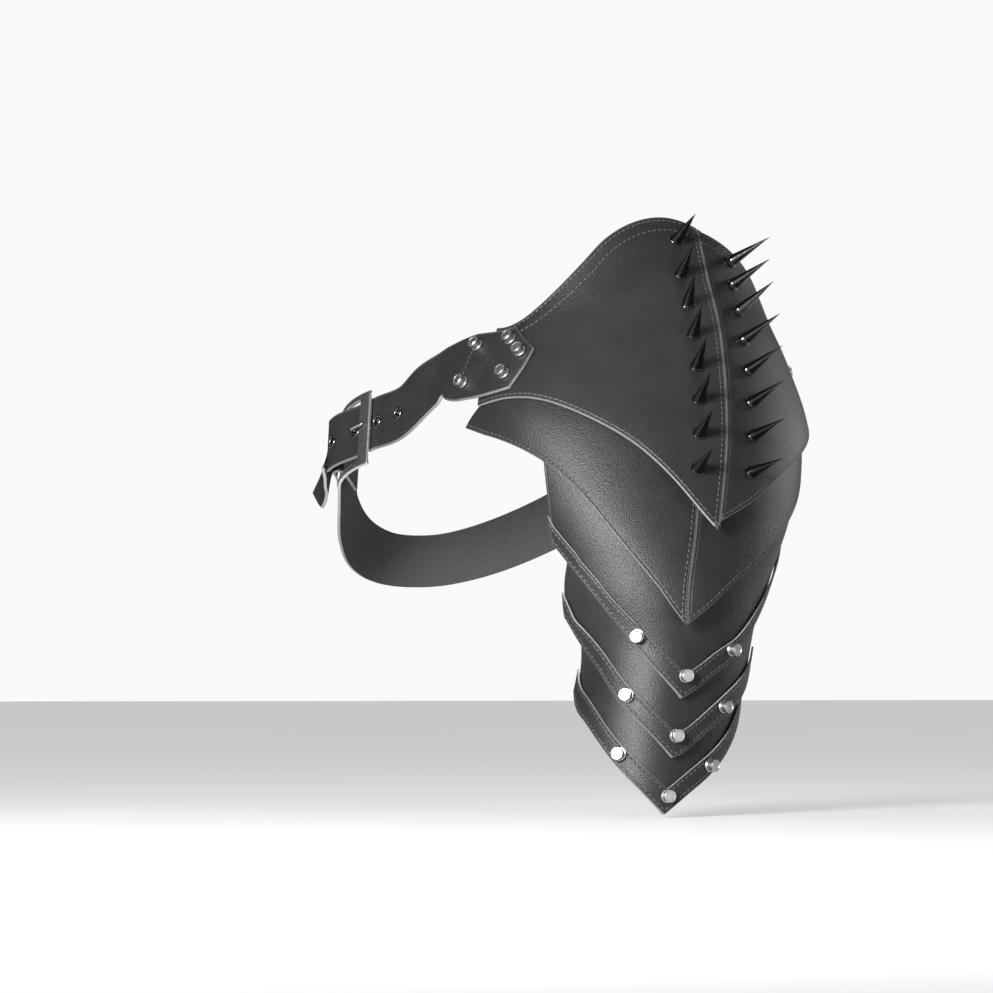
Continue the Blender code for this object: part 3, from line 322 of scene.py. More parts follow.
def grid_sheet(name, points):
    """A fine primitive grid laid on a table of points, rows by columns, outer face outwards."""
    rows, columns, _ = points.shape
    bpy.ops.object.select_all(action="DESELECT")
    bpy.ops.mesh.primitive_grid_add(x_subdivisions=columns - 1, y_subdivisions=rows - 1, size=2)
    piece = bpy.context.object
    piece.name = piece.data.name = name
    flat = np.empty(len(piece.data.vertices) * 3)
    piece.data.vertices.foreach_get("co", flat)
    flat = flat.reshape(-1, 3)
    column = np.rint((flat[:, 0] + 1) / 2 * (columns - 1)).astype(int)
    row = np.rint((flat[:, 1] + 1) / 2 * (rows - 1)).astype(int)
    piece.data.vertices.foreach_set("co", points[row, column].ravel())
    piece.data.update()
    return piece, row, column


def edge_numbers(points, edges):
    """How far each place of a sheet is from its dressed edges, in mm."""
    down = np.linalg.norm(np.diff(points, axis=0), axis=2)
    down = np.vstack([np.zeros(points.shape[1]), np.cumsum(down, axis=0)])
    across = np.linalg.norm(np.diff(points, axis=1), axis=2)
    across = np.hstack([np.zeros((points.shape[0], 1)), np.cumsum(across, axis=1)])
    far = {
        "top": down, "hem": down[-1:] - down, "first": across, "last": across[:, -1:] - across,
    }
    return np.min([far[edge] for edge in edges], axis=0) / MM


def mark_edges(piece, numbers):
    """Keeps each point's distance from the dressed edges, in mm, for the leather's finish."""
    layer = piece.data.attributes.new("edge_mm", "FLOAT", "POINT")
    layer.data.foreach_set("value", numbers)


MERGE = 0.02 * MM


def give_wall(piece, thickness, materials, corner, bevel, inner=1, rim=2, bevel_material=-1):
    """Gives a sheet its wall, inwards from its outer face, and rounds its corners off."""
    for material in materials:
        piece.data.materials.append(material)
    wall = piece.modifiers.new("wall", "SOLIDIFY")
    wall.thickness = thickness
    wall.offset = -1
    wall.use_even_offset = False
    wall.material_offset = inner
    wall.material_offset_rim = rim
    edge = piece.modifiers.new("edge", "BEVEL")
    edge.limit_method = "ANGLE"
    edge.angle_limit = math.radians(corner)
    edge.width = bevel
    edge.segments = 2
    edge.material = bevel_material
    for modifier in ("wall", "edge"):
        bpy.ops.object.modifier_apply(modifier=modifier)


def leather_wall(name, points, outward, edges, thickness, finish, bevel=0.35 * MM):
    """A wall of leather from its outer face: flesh side inside, raw cut edge round the rim."""
    piece, row, column = grid_sheet(name, points)
    mark_edges(piece, edge_numbers(points, edges)[row, column])
    outward = Vector(outward)
    facing = sum(face.area * face.normal.dot(outward) for face in piece.data.polygons)
    bpy.ops.object.mode_set(mode="EDIT")
    bpy.ops.mesh.select_all(action="SELECT")
    if facing < 0:
        bpy.ops.mesh.flip_normals()
    bpy.ops.mesh.remove_doubles(threshold=MERGE)
    bpy.ops.object.mode_set(mode="OBJECT")
    give_wall(piece, thickness, (finish, FLESH_SIDE, CUT_EDGE), 55, bevel)
    bpy.ops.object.shade_smooth_by_angle(angle=math.radians(38))
    return piece


S_IN_T = 3.6


def run_length(points):
    """How far along a run of points each one is."""
    return np.concatenate([[0], np.cumsum(np.linalg.norm(np.diff(points, axis=0), axis=1))])


def read_run(at, measure, table):
    """A table's rows at places between them, by a measure along the table."""
    columns = range(table.shape[1])
    return np.stack([np.interp(at, measure, table[:, k]) for k in columns], axis=1)


def even_run(run, count):
    """A run of (s, t) parted into equal lengths, where one of s is as long as S_IN_T of t."""
    run = np.array(run, dtype=float)
    length = run_length(run * (S_IN_T, 1))
    return read_run(np.linspace(0, length[-1], count), length, run)


def run_by_s(run, count):
    """A run of (s, t) parted into equal steps of s."""
    run = np.array(run, dtype=float)
    share = np.abs(run[:, 0] - run[0, 0]) / abs(run[-1, 0] - run[0, 0])
    return read_run(np.linspace(0, 1, count), share, run)


def patch(top, hem, first, last, rows, columns):
    """(s, t) all over a sheet between its four edges, each a run of (s, t) points."""
    top, hem = run_by_s(top, columns), run_by_s(hem, columns)
    first, last = even_run(first, rows), even_run(last, rows)
    u = np.linspace(0, 1, columns)[None, :, None]
    v = np.linspace(0, 1, rows)[:, None, None]
    corners = (
        (1 - u) * (1 - v) * top[0] + u * (1 - v) * top[-1] + (1 - u) * v * hem[0] + u * v * hem[-1]
    )
    sides = (1 - u) * first[:, None] + u * last[:, None]
    return (1 - v) * top[None] + v * hem[None] + sides - corners


def edge_run(rows, start, end, count=160):
    """A smooth run of (s, t) along a table of edge places, between two values of s."""
    s = np.linspace(start, end, count)
    low, high = min(start, end) - 1e-6, max(start, end) + 1e-6
    inside = [row for row in rows if low <= row[0] <= high]
    return np.stack([s, read_rows(inside, s)[:, 0]], axis=1)


# Waxed thread, sewn by machine. Each stitch sinks into the leather at its ends.
STITCH_PITCH, STITCH_LENGTH, STITCH_WIDTH, STITCH_HEIGHT = 4.0 * MM, 3.0 * MM, 0.8 * MM, 0.5 * MM
STITCH_SUNK, STITCH_SLANT = 0.05 * MM, 0.17


def thread_finish():
    material, shader, node, link = node_tree("waxed_thread")
    place = node("ShaderNodeTexCoord").outputs["Object"]
    twist = node("ShaderNodeTexNoise", Vector=place, Scale=1600.0, Detail=3.0)
    tone = ramp(node, twist.outputs["Fac"], ((0.3, 0.03), (0.7, 0.085)))
    link(tone, shader.inputs["Base Color"])
    shader.inputs["Roughness"].default_value = 0.5
    ply = node("ShaderNodeBump", Strength=0.5, Distance=0.0002, Height=twist.outputs["Fac"])
    link(ply.outputs[0], shader.inputs["Normal"])
    return material


THREAD = thread_finish()

bpy.ops.mesh.primitive_uv_sphere_add(
    segments=8, ring_count=6, radius=0.5, rotation=(0, math.pi / 2, 0)
)
bpy.ops.object.transform_apply(location=False, rotation=True, scale=False)
ONE_STITCH = bpy.context.object
bpy.ops.object.mode_set(mode="EDIT")
bpy.ops.mesh.select_all(action="SELECT")
bpy.ops.transform.resize(
    value=(STITCH_LENGTH, STITCH_WIDTH, STITCH_HEIGHT), center_override=(0, 0, 0)
)
bpy.ops.object.mode_set(mode="OBJECT")
STITCH_VERTS = np.array([tuple(v.co) for v in ONE_STITCH.data.vertices])
STITCH_FACES = [tuple(p.vertices) for p in ONE_STITCH.data.polygons]
bpy.data.objects.remove(ONE_STITCH)


def stitching(name, lines, pitch=STITCH_PITCH, slope=STITCH_SLANT):
    """One piece of all the stitches along runs of (points, outward ways)."""
    verts, faces = [], []
    for points, outs in lines:
        length = run_length(points)
        count = max(1, int(length[-1] // pitch))
        at = (np.arange(count) + 0.5) * length[-1] / count
        middle, out = read_run(at, length, points), unit(read_run(at, length, outs))
        way = unit(read_run(at + MM, length, points) - read_run(at - MM, length, points))
        side = unit(np.cross(out, way))
        for m, w, d, o in zip(middle, way, side, out):
            start = len(verts)
            slant = w * math.sqrt(1 - slope * slope) + d * slope
            across = np.cross(o, slant)
            verts += list(m + STITCH_VERTS @ np.array([slant, across, o]))
            faces += [tuple(i + start for i in face) for face in STITCH_FACES]
    mesh = bpy.data.meshes.new(name)
    mesh.from_pydata([tuple(v) for v in verts], [], faces)
    mesh.shade_smooth()
    mesh.materials.append(THREAD)
    piece = bpy.data.objects.new(name, mesh)
    bpy.context.scene.collection.objects.link(piece)
    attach(piece, "root")


def face_line(lift, st):
    """A run of points on a face and its outward ways, for stitches."""
    s, t = st[:, 0], st[:, 1]
    out = face_way(lift, s, t)
    return lifted(lift, s, t) - out * STITCH_SUNK, out


def inset_run(lift, grid, edge, inset):
    """The run of (s, t) a given distance inside one edge of a sheet's (s, t) grid."""
    if edge in ("first", "last"):
        grid = grid.transpose(1, 0, 2)
    if edge in ("hem", "last"):
        grid = grid[::-1]
    points = lifted(lift, grid[..., 0], grid[..., 1])
    steps = np.linalg.norm(np.diff(points, axis=0), axis=2)
    length = np.vstack([np.zeros(grid.shape[1]), np.cumsum(steps, axis=0)])
    way = unit(np.gradient(points[0], axis=0))
    arm = unit(points[1] - points[0])
    slope = np.sqrt(np.maximum(1 - np.sum(way * arm, -1) ** 2, 0.25))
    return np.stack([
        [np.interp(need, length[:, c], grid[:, c, k]) for k in (0, 1)]
        for c, need in enumerate(inset / slope)
    ])


# SEAM_SHADE_REACH is how far from the seam line the raw rim takes the face leather, as painted shade in
# the seam's gap.
SEAM_TURN_PITCH, SEAM_TURN_SLANT, SEAM_PROUD, SEAM_SHADE_REACH = 2.3 * MM, 0.62, 0.1 * MM, 2.0 * MM


def whipped_seam(name, lift, seam, t_from, t_to):
    """The thick thread that closes a seam, wound over it in close slanted turns."""
    t = np.linspace(t_from, t_to, 200)
    points, outs = face_line(lift, np.stack([np.full(t.shape, seam), t], axis=1))
    line = (points + outs * SEAM_PROUD, outs)
    stitching(name, [line], SEAM_TURN_PITCH, SEAM_TURN_SLANT)


def shade_seam_rim(piece, lift, seam, t_from, t_to):
    """Gives the raw rim along a closed seam the dark face leather in place of the grey cut edge:
    painted shade for the narrow gap between the two panels.
    """
    t = np.linspace(t_from, t_to - 0.03, 300)
    line = lifted(lift, np.full(t.shape, seam), t, LEATHER / 2)
    for polygon in piece.data.polygons:
        if polygon.material_index == 2:
            if np.min(np.linalg.norm(line - np.array(polygon.center), axis=1)) < SEAM_SHADE_REACH:
                polygon.material_index = 0


HEM_STITCH, SEAM_STITCH, NECK_STITCH = 2.6 * MM, 3.0 * MM, 10 * MM
CAP_SEAM, CAP_SEAM_END, CAP_THREAD = -0.02, 4.07, (0.03, 4.02)
CAP_HEM_END, CAP_ROWS, CAP_COLUMNS = 1.01, 64, 72
PATTERN_S = 1.4 * SHOULDER_DEPTH
CAP_TOP = ((-1.0, 0.22), (-0.83, 0.33), (-0.66, 0.27), (-0.51, 0.15), (-0.40, 0.03), (-0.20, 0.0),
           (-0.02, 0.0), (0.0, 0.0), (0.3, 0.0), (0.55, 0.12), (0.8, 0.24), (1.0, 0.22))
CAP_HEM = ((-1.01, 2.68), (-0.86, 2.62), (-0.72, 2.67), (-0.55, 2.86), (-0.34, 3.18),
           (-0.19, 3.53), (-0.02, 4.07), (0.10, 3.67), (0.185, 3.46), (0.27, 3.31), (0.45, 3.06),
           (0.65, 2.82), (0.85, 2.66), (1.01, 2.64))
HEAD_WIDTH, HEAD_LENGTH, HEAD_WALK = 52 * MM, 72 * MM, 5
HEAD_POINT_S, HEAD_POINT_T = 0.73, 1.70
STRAP_LEATHER = 2.2 * MM
TONGUE_LENGTH, TONGUE_WIDTH, TONGUE_ROOT = 26 * MM, 41 * MM, 0.62
TONGUE_ROWS, TONGUE_COLUMNS = 18, 14


def strap_lift(s, t):
    return cap_lift(s, t) + STRAP_LEATHER + LAYER_GAP


def head_place(side, along, across):
    """The (s, t) of a strap head's own place, from its point and its middle line."""
    along, across = np.broadcast_arrays(np.array(along, dtype=float), np.array(across, dtype=float))
    s = np.full(along.shape, side * HEAD_POINT_S)
    t = np.full(along.shape, HEAD_POINT_T)
    for _ in range(HEAD_WALK):
        s, t = face_move(strap_lift, s, t, side * along / HEAD_WALK, np.zeros(along.shape))
    for _ in range(HEAD_WALK):
        s, t = face_move(strap_lift, s, t, np.zeros(along.shape), across / HEAD_WALK)
    return s, t


def join(piece, others):
    """Joins other meshes into a piece."""
    bpy.ops.object.select_all(action="DESELECT")
    for other in [piece] + others:
        other.select_set(True)
    bpy.context.view_layer.objects.active = piece
    bpy.ops.object.join()
    return piece


CAP_LINES = []
for side, name in ((-1, "front"), (1, "back")):
    seam = CAP_SEAM + side * SEAM_GAP / 2 / PATTERN_S
    top = edge_run(CAP_TOP, seam if side > 0 else CAP_SEAM, side * 1.0)
    hem = edge_run(CAP_HEM, seam if side > 0 else CAP_SEAM, side * CAP_HEM_END)
    top[0, 0] = hem[0, 0] = seam
    grid = patch(top, hem, [top[0], hem[0]], [top[-1], hem[-1]], CAP_ROWS, CAP_COLUMNS)
    points = lifted(cap_lift, grid[..., 0], grid[..., 1])
    outward = face_way(cap_lift, side * 0.5, 1.5)
    cap = leather_wall(
        f"cap_{name}", points, outward, ("top", "hem", "first"), LEATHER, PLATE_LEATHER
    )
    root = HEAD_LENGTH * TONGUE_ROOT
    along = np.linspace(root, root + TONGUE_LENGTH, TONGUE_COLUMNS)[None, :]
    across = np.linspace(-TONGUE_WIDTH / 2, TONGUE_WIDTH / 2, TONGUE_ROWS)[:, None]
    s, t = head_place(side, along, across)
    start = np.where(side * s[:, :1] < 1.0, s[:, :1], side * 1.0)
    s = np.where(side * s < 1.0, start, s)
    tongue = leather_wall(
        f"cap_tongue_{name}", lifted(cap_lift, s, t), outward, ("last",), LEATHER, PLATE_LEATHER
    )
    join(cap, [tongue])
    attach(cap, "root")
    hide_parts(f"cap_{name}_panel")
    # Painted shade: the cap seam's raw rim takes the dark face leather.
    shade_seam_rim(cap, cap_lift, CAP_SEAM, 0.0, CAP_SEAM_END)
    sewn = [("top", HEM_STITCH), ("top", NECK_STITCH), ("hem", HEM_STITCH)]
    if side < 0:
        sewn.append(("first", SEAM_STITCH))
    for edge, inset in sewn:
        CAP_LINES.append(face_line(cap_lift, inset_run(cap_lift, grid, edge, inset)))
stitching("cap_stitching", CAP_LINES)
whipped_seam("cap_seam_thread", cap_lift, CAP_SEAM, *CAP_THREAD)


# Second plate. The same leather, flared under the cap and sewn along its own seam. It is pinned
# between the cap and the arm by the rivets near its upper edge, so only its lower half shows.
MID_SEAM, MID_SEAM_RUN, MID_THREAD = -0.08, (3.45, 5.60), (3.5, 5.56)
MID_ROWS, MID_COLUMNS = 64, 76
MID_TOP = ((-1.0, 1.25), (-0.93, 0.80), (-0.80, 0.85), (-0.66, 1.70), (-0.45, 2.45),
           (-0.25, 2.95), (-0.08, 3.45), (0.10, 3.05), (0.35, 2.60), (0.60, 1.85), (0.76, 0.85),
           (0.93, 0.80), (1.0, 1.25))
MID_HEM = ((-1.127, 2.97), (-0.88, 3.26), (-0.68, 3.56), (-0.53, 3.89), (-0.34, 4.48),
           (-0.20, 5.02), (-0.08, 5.60), (0.065, 5.11), (0.158, 4.71), (0.26, 4.33), (0.40, 3.98),
           (0.62, 3.58), (0.85, 3.22), (1.10, 2.95))
MID_HEM_ENDS, MID_NOTCH = {-1: -1.127, 1: 1.10}, (1.0, 2.6)
MID_LINES = []
for side, name in ((-1, "front"), (1, "back")):
    seam = MID_SEAM + side * SEAM_GAP / 2 / PATTERN_S
    top = edge_run(MID_TOP, MID_SEAM, side * 1.0)
    hem = edge_run(MID_HEM, MID_SEAM, MID_HEM_ENDS[side])
    top[0, 0] = hem[0, 0] = seam
    end = [top[-1], (side * MID_NOTCH[0], MID_NOTCH[1]), hem[-1]]
    grid = patch(top, hem, [top[0], hem[0]], end, MID_ROWS, MID_COLUMNS)
    points = lifted(mid_lift, grid[..., 0], grid[..., 1])
    outward = face_way(mid_lift, side * 0.5, 3.0)
    plate = leather_wall(
        f"second_plate_{name}", points, outward, ("hem", "first"), LEATHER, PLATE_LEATHER
    )
    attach(plate, "root")
    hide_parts(f"mid_{name}_panel")
    # Painted shade: the plate seam's raw rim takes the dark face leather.
    shade_seam_rim(plate, mid_lift, MID_SEAM, *MID_SEAM_RUN)
    sewn = [("hem", HEM_STITCH)]
    if side < 0:
        sewn.append(("first", SEAM_STITCH))
    for edge, inset in sewn:
        MID_LINES.append(face_line(mid_lift, inset_run(mid_lift, grid, edge, inset)))
stitching("second_plate_stitching", MID_LINES)
whipped_seam("second_plate_seam_thread", mid_lift, MID_SEAM, *MID_THREAD)


# Arm lames and their borders. Three bent strips of the same leather hang below each other, each
# with a V hem and a thinner border strip sewn on along that hem.
BAND_LEATHER, BAND_WIDTH, LAME_POINT = 1.3 * MM, 17 * MM, -0.03
BAND_STITCH, BAND_ROWS, BAND_COLUMNS, LAME_ROWS, LAME_COLUMNS = 2.3 * MM, 9, 64, 48, 52
UPPER_TOP = ((-0.68, 2.25), (-0.52, 2.25), (-0.28, 3.60), (-0.03, 4.35), (0.22, 3.80), (0.48, 2.30),
             (0.74, 2.25))
UPPER_HEM = ((-0.743, 4.56), (-0.647, 4.85), (-0.526, 5.23), (-0.408, 5.69), (-0.248, 6.19),
             (-0.03, 6.66), (0.071, 6.52), (0.175, 6.34), (0.33, 6.07), (0.42, 5.80), (0.51, 5.46),
             (0.64, 4.95), (0.78, 4.50))
MIDDLE_TOP = ((-0.60, 4.35), (-0.45, 4.85), (-0.32, 5.30), (-0.03, 5.95), (0.30, 5.45), (0.50, 4.90),
              (0.66, 4.55))
MIDDLE_HEM = ((-0.87, 5.46), (-0.80, 5.75), (-0.67, 6.09), (-0.445, 6.63), (-0.265, 6.94),
              (-0.03, 7.32), (0.049, 7.25), (0.215, 7.01), (0.34, 6.82), (0.54, 6.52), (0.68, 6.28),
              (0.84, 5.95))
LOWER_TOP = ((-0.84, 5.75), (-0.60, 6.00), (-0.36, 6.30), (-0.03, 6.78), (0.33, 6.35), (0.55, 5.95),
             (0.74, 5.75))
LOWER_HEM = ((-1.0, 6.45), (-0.86, 6.70), (-0.697, 6.90), (-0.438, 7.32), (-0.248, 7.59),
             (-0.03, 7.88), (0.129, 7.68), (0.33, 7.43), (0.486, 7.19), (0.65, 6.88), (0.82, 6.50))
LAMES = (("upper", 3, UPPER_TOP, UPPER_HEM), ("middle", 2, MIDDLE_TOP, MIDDLE_HEM),
         ("lower", 1, LOWER_TOP, LOWER_HEM))
BAND_FINISH = leather_finish("border_leather_satin", 0.012, 0.40, 1050.0, 0.45)


def lame_lift(layer):
    return lambda s, t: layer_lift(layer) + 0 * s


def band_lift(layer):
    return lambda s, t: layer_lift(layer) + LAYER_GAP + BAND_LEATHER + 0 * s


def v_run(rows, count=120):
    """A whole edge with its sharp point in the middle of the run."""
    front = edge_run(rows, rows[0][0], LAME_POINT, count)
    back = edge_run(rows, LAME_POINT, rows[-1][0], count)
    return front, back


def border_strip(lift, top, hem):
    """(s, t) over half a border: a band's width up from the hem, cut off at the lame's end."""
    outer = 0 if abs(hem[0, 0] - LAME_POINT) > 1e-6 else -1
    s, t = hem[:, 0], hem[:, 1]
    slope = np.linalg.norm(face_slopes(lift, s, t)[1], axis=-1)
    inner = np.stack([s, t - BAND_WIDTH / slope], axis=1)
    run = top[outer] - hem[outer]
    ends = lifted(lift, *np.array([top[outer], hem[outer]]).T)
    corner = hem[outer] + run * BAND_WIDTH / np.linalg.norm(ends[1] - ends[0])
    keep = inner[:, 0] > corner[0] + 0.02 if outer == 0 else inner[:, 0] < corner[0] - 0.02
    inner = np.vstack([corner, inner[keep]]) if outer == 0 else np.vstack([inner[keep], corner])
    inner, hem = run_by_s(inner, BAND_COLUMNS), run_by_s(hem, BAND_COLUMNS)
    share = np.linspace(0, 1, BAND_ROWS)[:, None, None]
    return inner[None] * (1 - share) + hem[None] * share


for name, layer, top, hem in LAMES:
    lift, raised = lame_lift(layer), band_lift(layer)
    halves, strips, lines = [], [], []
    for top_half, hem_half in zip(v_run(top), v_run(hem)):
        strips.append(border_strip(raised, top_half, hem_half))
        ends = [top_half[0], hem_half[0]], [top_half[-1], hem_half[-1]]
        halves.append(patch(top_half, hem_half, *ends, LAME_ROWS, LAME_COLUMNS))
    grid = np.concatenate([halves[0], halves[1][:, 1:]], axis=1)
    outward = face_way(lift, 0.0, 6.0)
    lame = leather_wall(
        f"arm_lame_{name}", lifted(lift, grid[..., 0], grid[..., 1]), outward,
        ("hem", "first", "last"), LEATHER, PLATE_LEATHER,
    )
    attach(lame, "root")
    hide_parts(f"lame_{name}")
    strip = np.concatenate([strips[0], strips[1][:, 1:]], axis=1)
    band = leather_wall(
        f"border_{name}", lifted(raised, strip[..., 0], strip[..., 1]), outward,
        ("hem", "top", "first", "last"), BAND_LEATHER, BAND_FINISH, 0.25 * MM,
    )
    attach(band, "root")
    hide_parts(f"band_{name}")
    for part in strips:
        for edge in ("hem", "top"):
            lines.append(face_line(raised, inset_run(raised, part, edge, BAND_STITCH)))
    stitching(f"border_stitching_{name}", lines)


# Flat-top studs. Turned steel with a satin face, a fine rim line and a base ring, each on a post
# that passes through the leather and is closed by a washer behind.
STUD_DIAMETER, STUD_HEIGHT, POST_DIAMETER = 9 * MM, 6 * MM, 2.6 * MM
WASHER_DIAMETER, WASHER_THICKNESS, SEAT_GAP, WASHER_GAP = 7 * MM, 1.0 * MM, 0.5 * MM, 0.7 * MM
STUDS = {
    "upper": (3, ((-0.323, 5.76), (-0.035, 6.38), (0.297, 5.92))),
    "middle": (2, ((-0.364, 6.61), (-0.034, 7.09), (0.329, 6.67))),
    "lower": (1, ((-0.380, 7.26), (-0.030, 7.70), (0.300, 7.34))),
}
HEAD_STUDS = ((0.14, 0.0), (0.28, -0.29), (0.28, 0.29), (0.78, -0.29), (0.78, 0.29))
STUDS_ON_TONGUE, RIVET_HEIGHT, RIVET_PLACE = 3, 1.0 * MM, (0.60, 2.62)


def metal_finish(name, grey, roughness, brushed, scratch):
    """A worked metal: soft streaks in its tone and gloss, and fine scratches."""
    material, shader, node, link = node_tree(name)
    place = node("ShaderNodeTexCoord").outputs["Object"]
    streaks = node("ShaderNodeTexNoise", Vector=place, Scale=brushed, Detail=5.0, Roughness=0.7)
    tone = ramp(node, streaks.outputs["Fac"], ((0.25, grey * 0.82), (0.8, grey * 1.12)))
    link(tone, shader.inputs["Base Color"])
    shader.inputs["Metallic"].default_value = 1.0
    vary_roughness(node, link, shader, streaks.outputs["Fac"], roughness, 0.16)
    fine = node("ShaderNodeTexNoise", Vector=place, Scale=brushed * 4, Detail=2.0)
    rub = node("ShaderNodeBump", Strength=scratch, Distance=0.0001, Height=fine.outputs["Fac"])
    link(rub.outputs[0], shader.inputs["Normal"])
    return material


SATIN_STEEL = metal_finish("stud_steel", 0.5, 0.36, 700.0, 0.25)


def turned(name, profile, sides):
    """A turned piece on the Z axis: a disc extruded and drawn in or out, profile point by point."""
    bpy.ops.object.select_all(action="DESELECT")
    radius, height = profile[0]
    bpy.ops.mesh.primitive_circle_add(
        vertices=sides, radius=radius, fill_type="NGON", location=(0, 0, height)
    )
    bpy.ops.object.transform_apply(location=True, rotation=False, scale=False)
    piece = bpy.context.object
    piece.name = piece.data.name = name
    bpy.ops.object.mode_set(mode="EDIT")
    bpy.ops.mesh.select_all(action="SELECT")
    for new_radius, new_height in profile[1:]:
        move = {"value": (0, 0, new_height - height)}
        bpy.ops.mesh.extrude_region_move(TRANSFORM_OT_translate=move)
        share = new_radius / radius
        bpy.ops.transform.resize(value=(share, share, 1), center_override=(0, 0, new_height))
        radius, height = new_radius, new_height
    bpy.ops.mesh.select_all(action="SELECT")
    bpy.ops.mesh.normals_make_consistent(inside=False)
    bpy.ops.object.mode_set(mode="OBJECT")
    bpy.ops.object.shade_smooth_by_angle(angle=math.radians(32))
    return piece


def set_copies(model, name, posts, material, replaced):
    """One copy of a turned model on each post, each with its own mesh."""
    for (centre, axis), node_name in zip(posts, replaced):
        side = unit(np.cross(axis, [0.0, 0.0, 1.0]))
        frame_turn = Matrix([side, np.cross(axis, side), axis]).transposed().to_4x4()
        copy = bpy.data.objects.new(f"{name}_{node_name}", model.data.copy())
        bpy.context.scene.collection.objects.link(copy)
        copy.data.transform(Matrix.Translation(Vector(centre)) @ frame_turn)
        copy.data.materials.append(material)
        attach(copy, "root")
        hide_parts(node_name)


def post(lift, s, t):
    """Where a stud or spike stands, and the way that it points."""
    s, t = float(s), float(t)
    return lifted(lift, s, t), face_way(lift, s, t)


def post_profile(depth):
    """The washer behind the leather and the post through it, up to the seat in front."""
    low = -(depth + WASHER_GAP + WASHER_THICKNESS)
    high, wide = low + WASHER_THICKNESS, WASHER_DIAMETER / 2
    return [
        (wide * 0.9, low), (wide, low + 0.2 * MM), (wide, high),
        (POST_DIAMETER / 2, high), (POST_DIAMETER / 2, SEAT_GAP),
    ]


def stud_profile(depth):
    """A flat-top stud: base ring, drawn-in neck, flared head, and a rim line round its face."""
    radius, base, top = STUD_DIAMETER / 2, SEAT_GAP, SEAT_GAP + STUD_HEIGHT
    shares_from_base = ((1, 0), (1, 0.8), (0.97, 1.05), (0.86, 1.15), (0.86, 1.5))
    shares_from_top = ((0.93, -0.7), (0.92, -0.25), (0.87, 0), (0.74, 0), (0.70, -0.3),
                       (0.62, -0.3), (0.59, -0.12), (0.02, -0.06))
    profile = post_profile(depth)
    profile += [(radius * share, base + rise * MM) for share, rise in shares_from_base]
    return profile + [(radius * share, top + rise * MM) for share, rise in shares_from_top]


def rivet_profile(depth):
    """A plain rivet with a low, flat head."""
    radius, top = STUD_DIAMETER / 2, SEAT_GAP + RIVET_HEIGHT
    head = [(radius, SEAT_GAP), (radius, top - 0.4 * MM), (radius * 0.9, top), (radius * 0.02, top)]
    return post_profile(depth) + head


def stacked(layers):
    """The thickness of some layers of plate leather with the gaps between them."""
    return layers * LEATHER + (layers - 1) * LAYER_GAP


for name, (layer, places) in STUDS.items():
    depth = BAND_LEATHER + LAYER_GAP + stacked(1 if name == "lower" else 2)
    model = turned("stud", stud_profile(depth), 40)
    posts = [post(band_lift(layer), s, t) for s, t in places]
    set_copies(
        model, "lame", posts, SATIN_STEEL,
        [f"stud_{name}_{place}" for place in ("front", "point", "back")],
    )
    bpy.data.objects.remove(model)
for side, name in ((-1, "front"), (1, "back")):
    for i, (x, y) in enumerate(HEAD_STUDS):
        s, t = head_place(side, x * HEAD_LENGTH, y * HEAD_WIDTH)
        depth = STRAP_LEATHER + LAYER_GAP + stacked(2 if i < STUDS_ON_TONGUE else 1)
        model = turned("stud", stud_profile(depth), 40)
        set_copies(
            model, "strap", [post(strap_lift, s, t)], SATIN_STEEL,
            [f"head_stud_{name}_{i + 1}"],
        )
        bpy.data.objects.remove(model)
    model = turned("rivet", rivet_profile(stacked(2)), 32)
    place = post(mid_lift, side * RIVET_PLACE[0], RIVET_PLACE[1])
    set_copies(model, "plate", [place], SATIN_STEEL, [f"hidden_rivet_{name}"])
    bpy.data.objects.remove(model)


# Cone spikes. Turned and polished black chrome, screwed on from behind through the cap, each with
# a stepped collar at its foot. A column of eight stands on each side of the ridge seam.
SPIKE_LENGTH, SPIKE_RADIUS, SPIKE_COLLAR = 35 * MM, 4.7 * MM, 2.4 * MM
SPIKE_COUNT, SPIKE_PITCH, SPIKE_START, SPIKE_OFFSET = 8, 26.5 * MM, 16 * MM, 15 * MM
BLACK_CHROME = metal_finish("spike_chrome", 0.085, 0.15, 500.0, 0.08)
COLLAR_STEPS = ((0.98, 0), (1, 0.2), (1, 0.8), (0.96, 1.0), (0.84, 1.1), (0.82, 1.3),
                (0.90, 1.5), (0.92, 1.9), (0.87, 2.3))
collar = [(SPIKE_RADIUS * share, SEAT_GAP + rise * MM) for share, rise in COLLAR_STEPS]
cone_foot, cone_length = SEAT_GAP + SPIKE_COLLAR, SPIKE_LENGTH - SPIKE_COLLAR
cone = [
    (SPIKE_RADIUS * (0.86 - 0.845 * share ** 0.97), cone_foot + cone_length * share)
    for share in np.linspace(0.02, 1.0, 12)
]
model = turned("spike", post_profile(LEATHER) + collar + cone, 48)
steps = np.arange(STEP, 3.9, STEP)
ridge_line = lifted(cap_lift, np.full(steps.shape, CAP_SEAM), steps)
first_step = np.linalg.norm(ridge_line[0] - lifted(cap_lift, CAP_SEAM, 0.0))
ridge_length = first_step + run_length(ridge_line)
for side, name in ((-1, "front"), (1, "back")):
    posts = []
    for k in range(SPIKE_COUNT):
        t = steps[np.searchsorted(ridge_length, SPIKE_START + SPIKE_PITCH * k)]
        s, t = face_move(cap_lift, CAP_SEAM + side * 0.02, t, side * SPIKE_OFFSET, 0.0)
        posts.append(post(cap_lift, s, t))
    set_copies(
        model, "polished", posts, BLACK_CHROME,
        [f"spike_{name}_{k + 1}" for k in range(SPIKE_COUNT)],
    )
bpy.data.objects.remove(model)


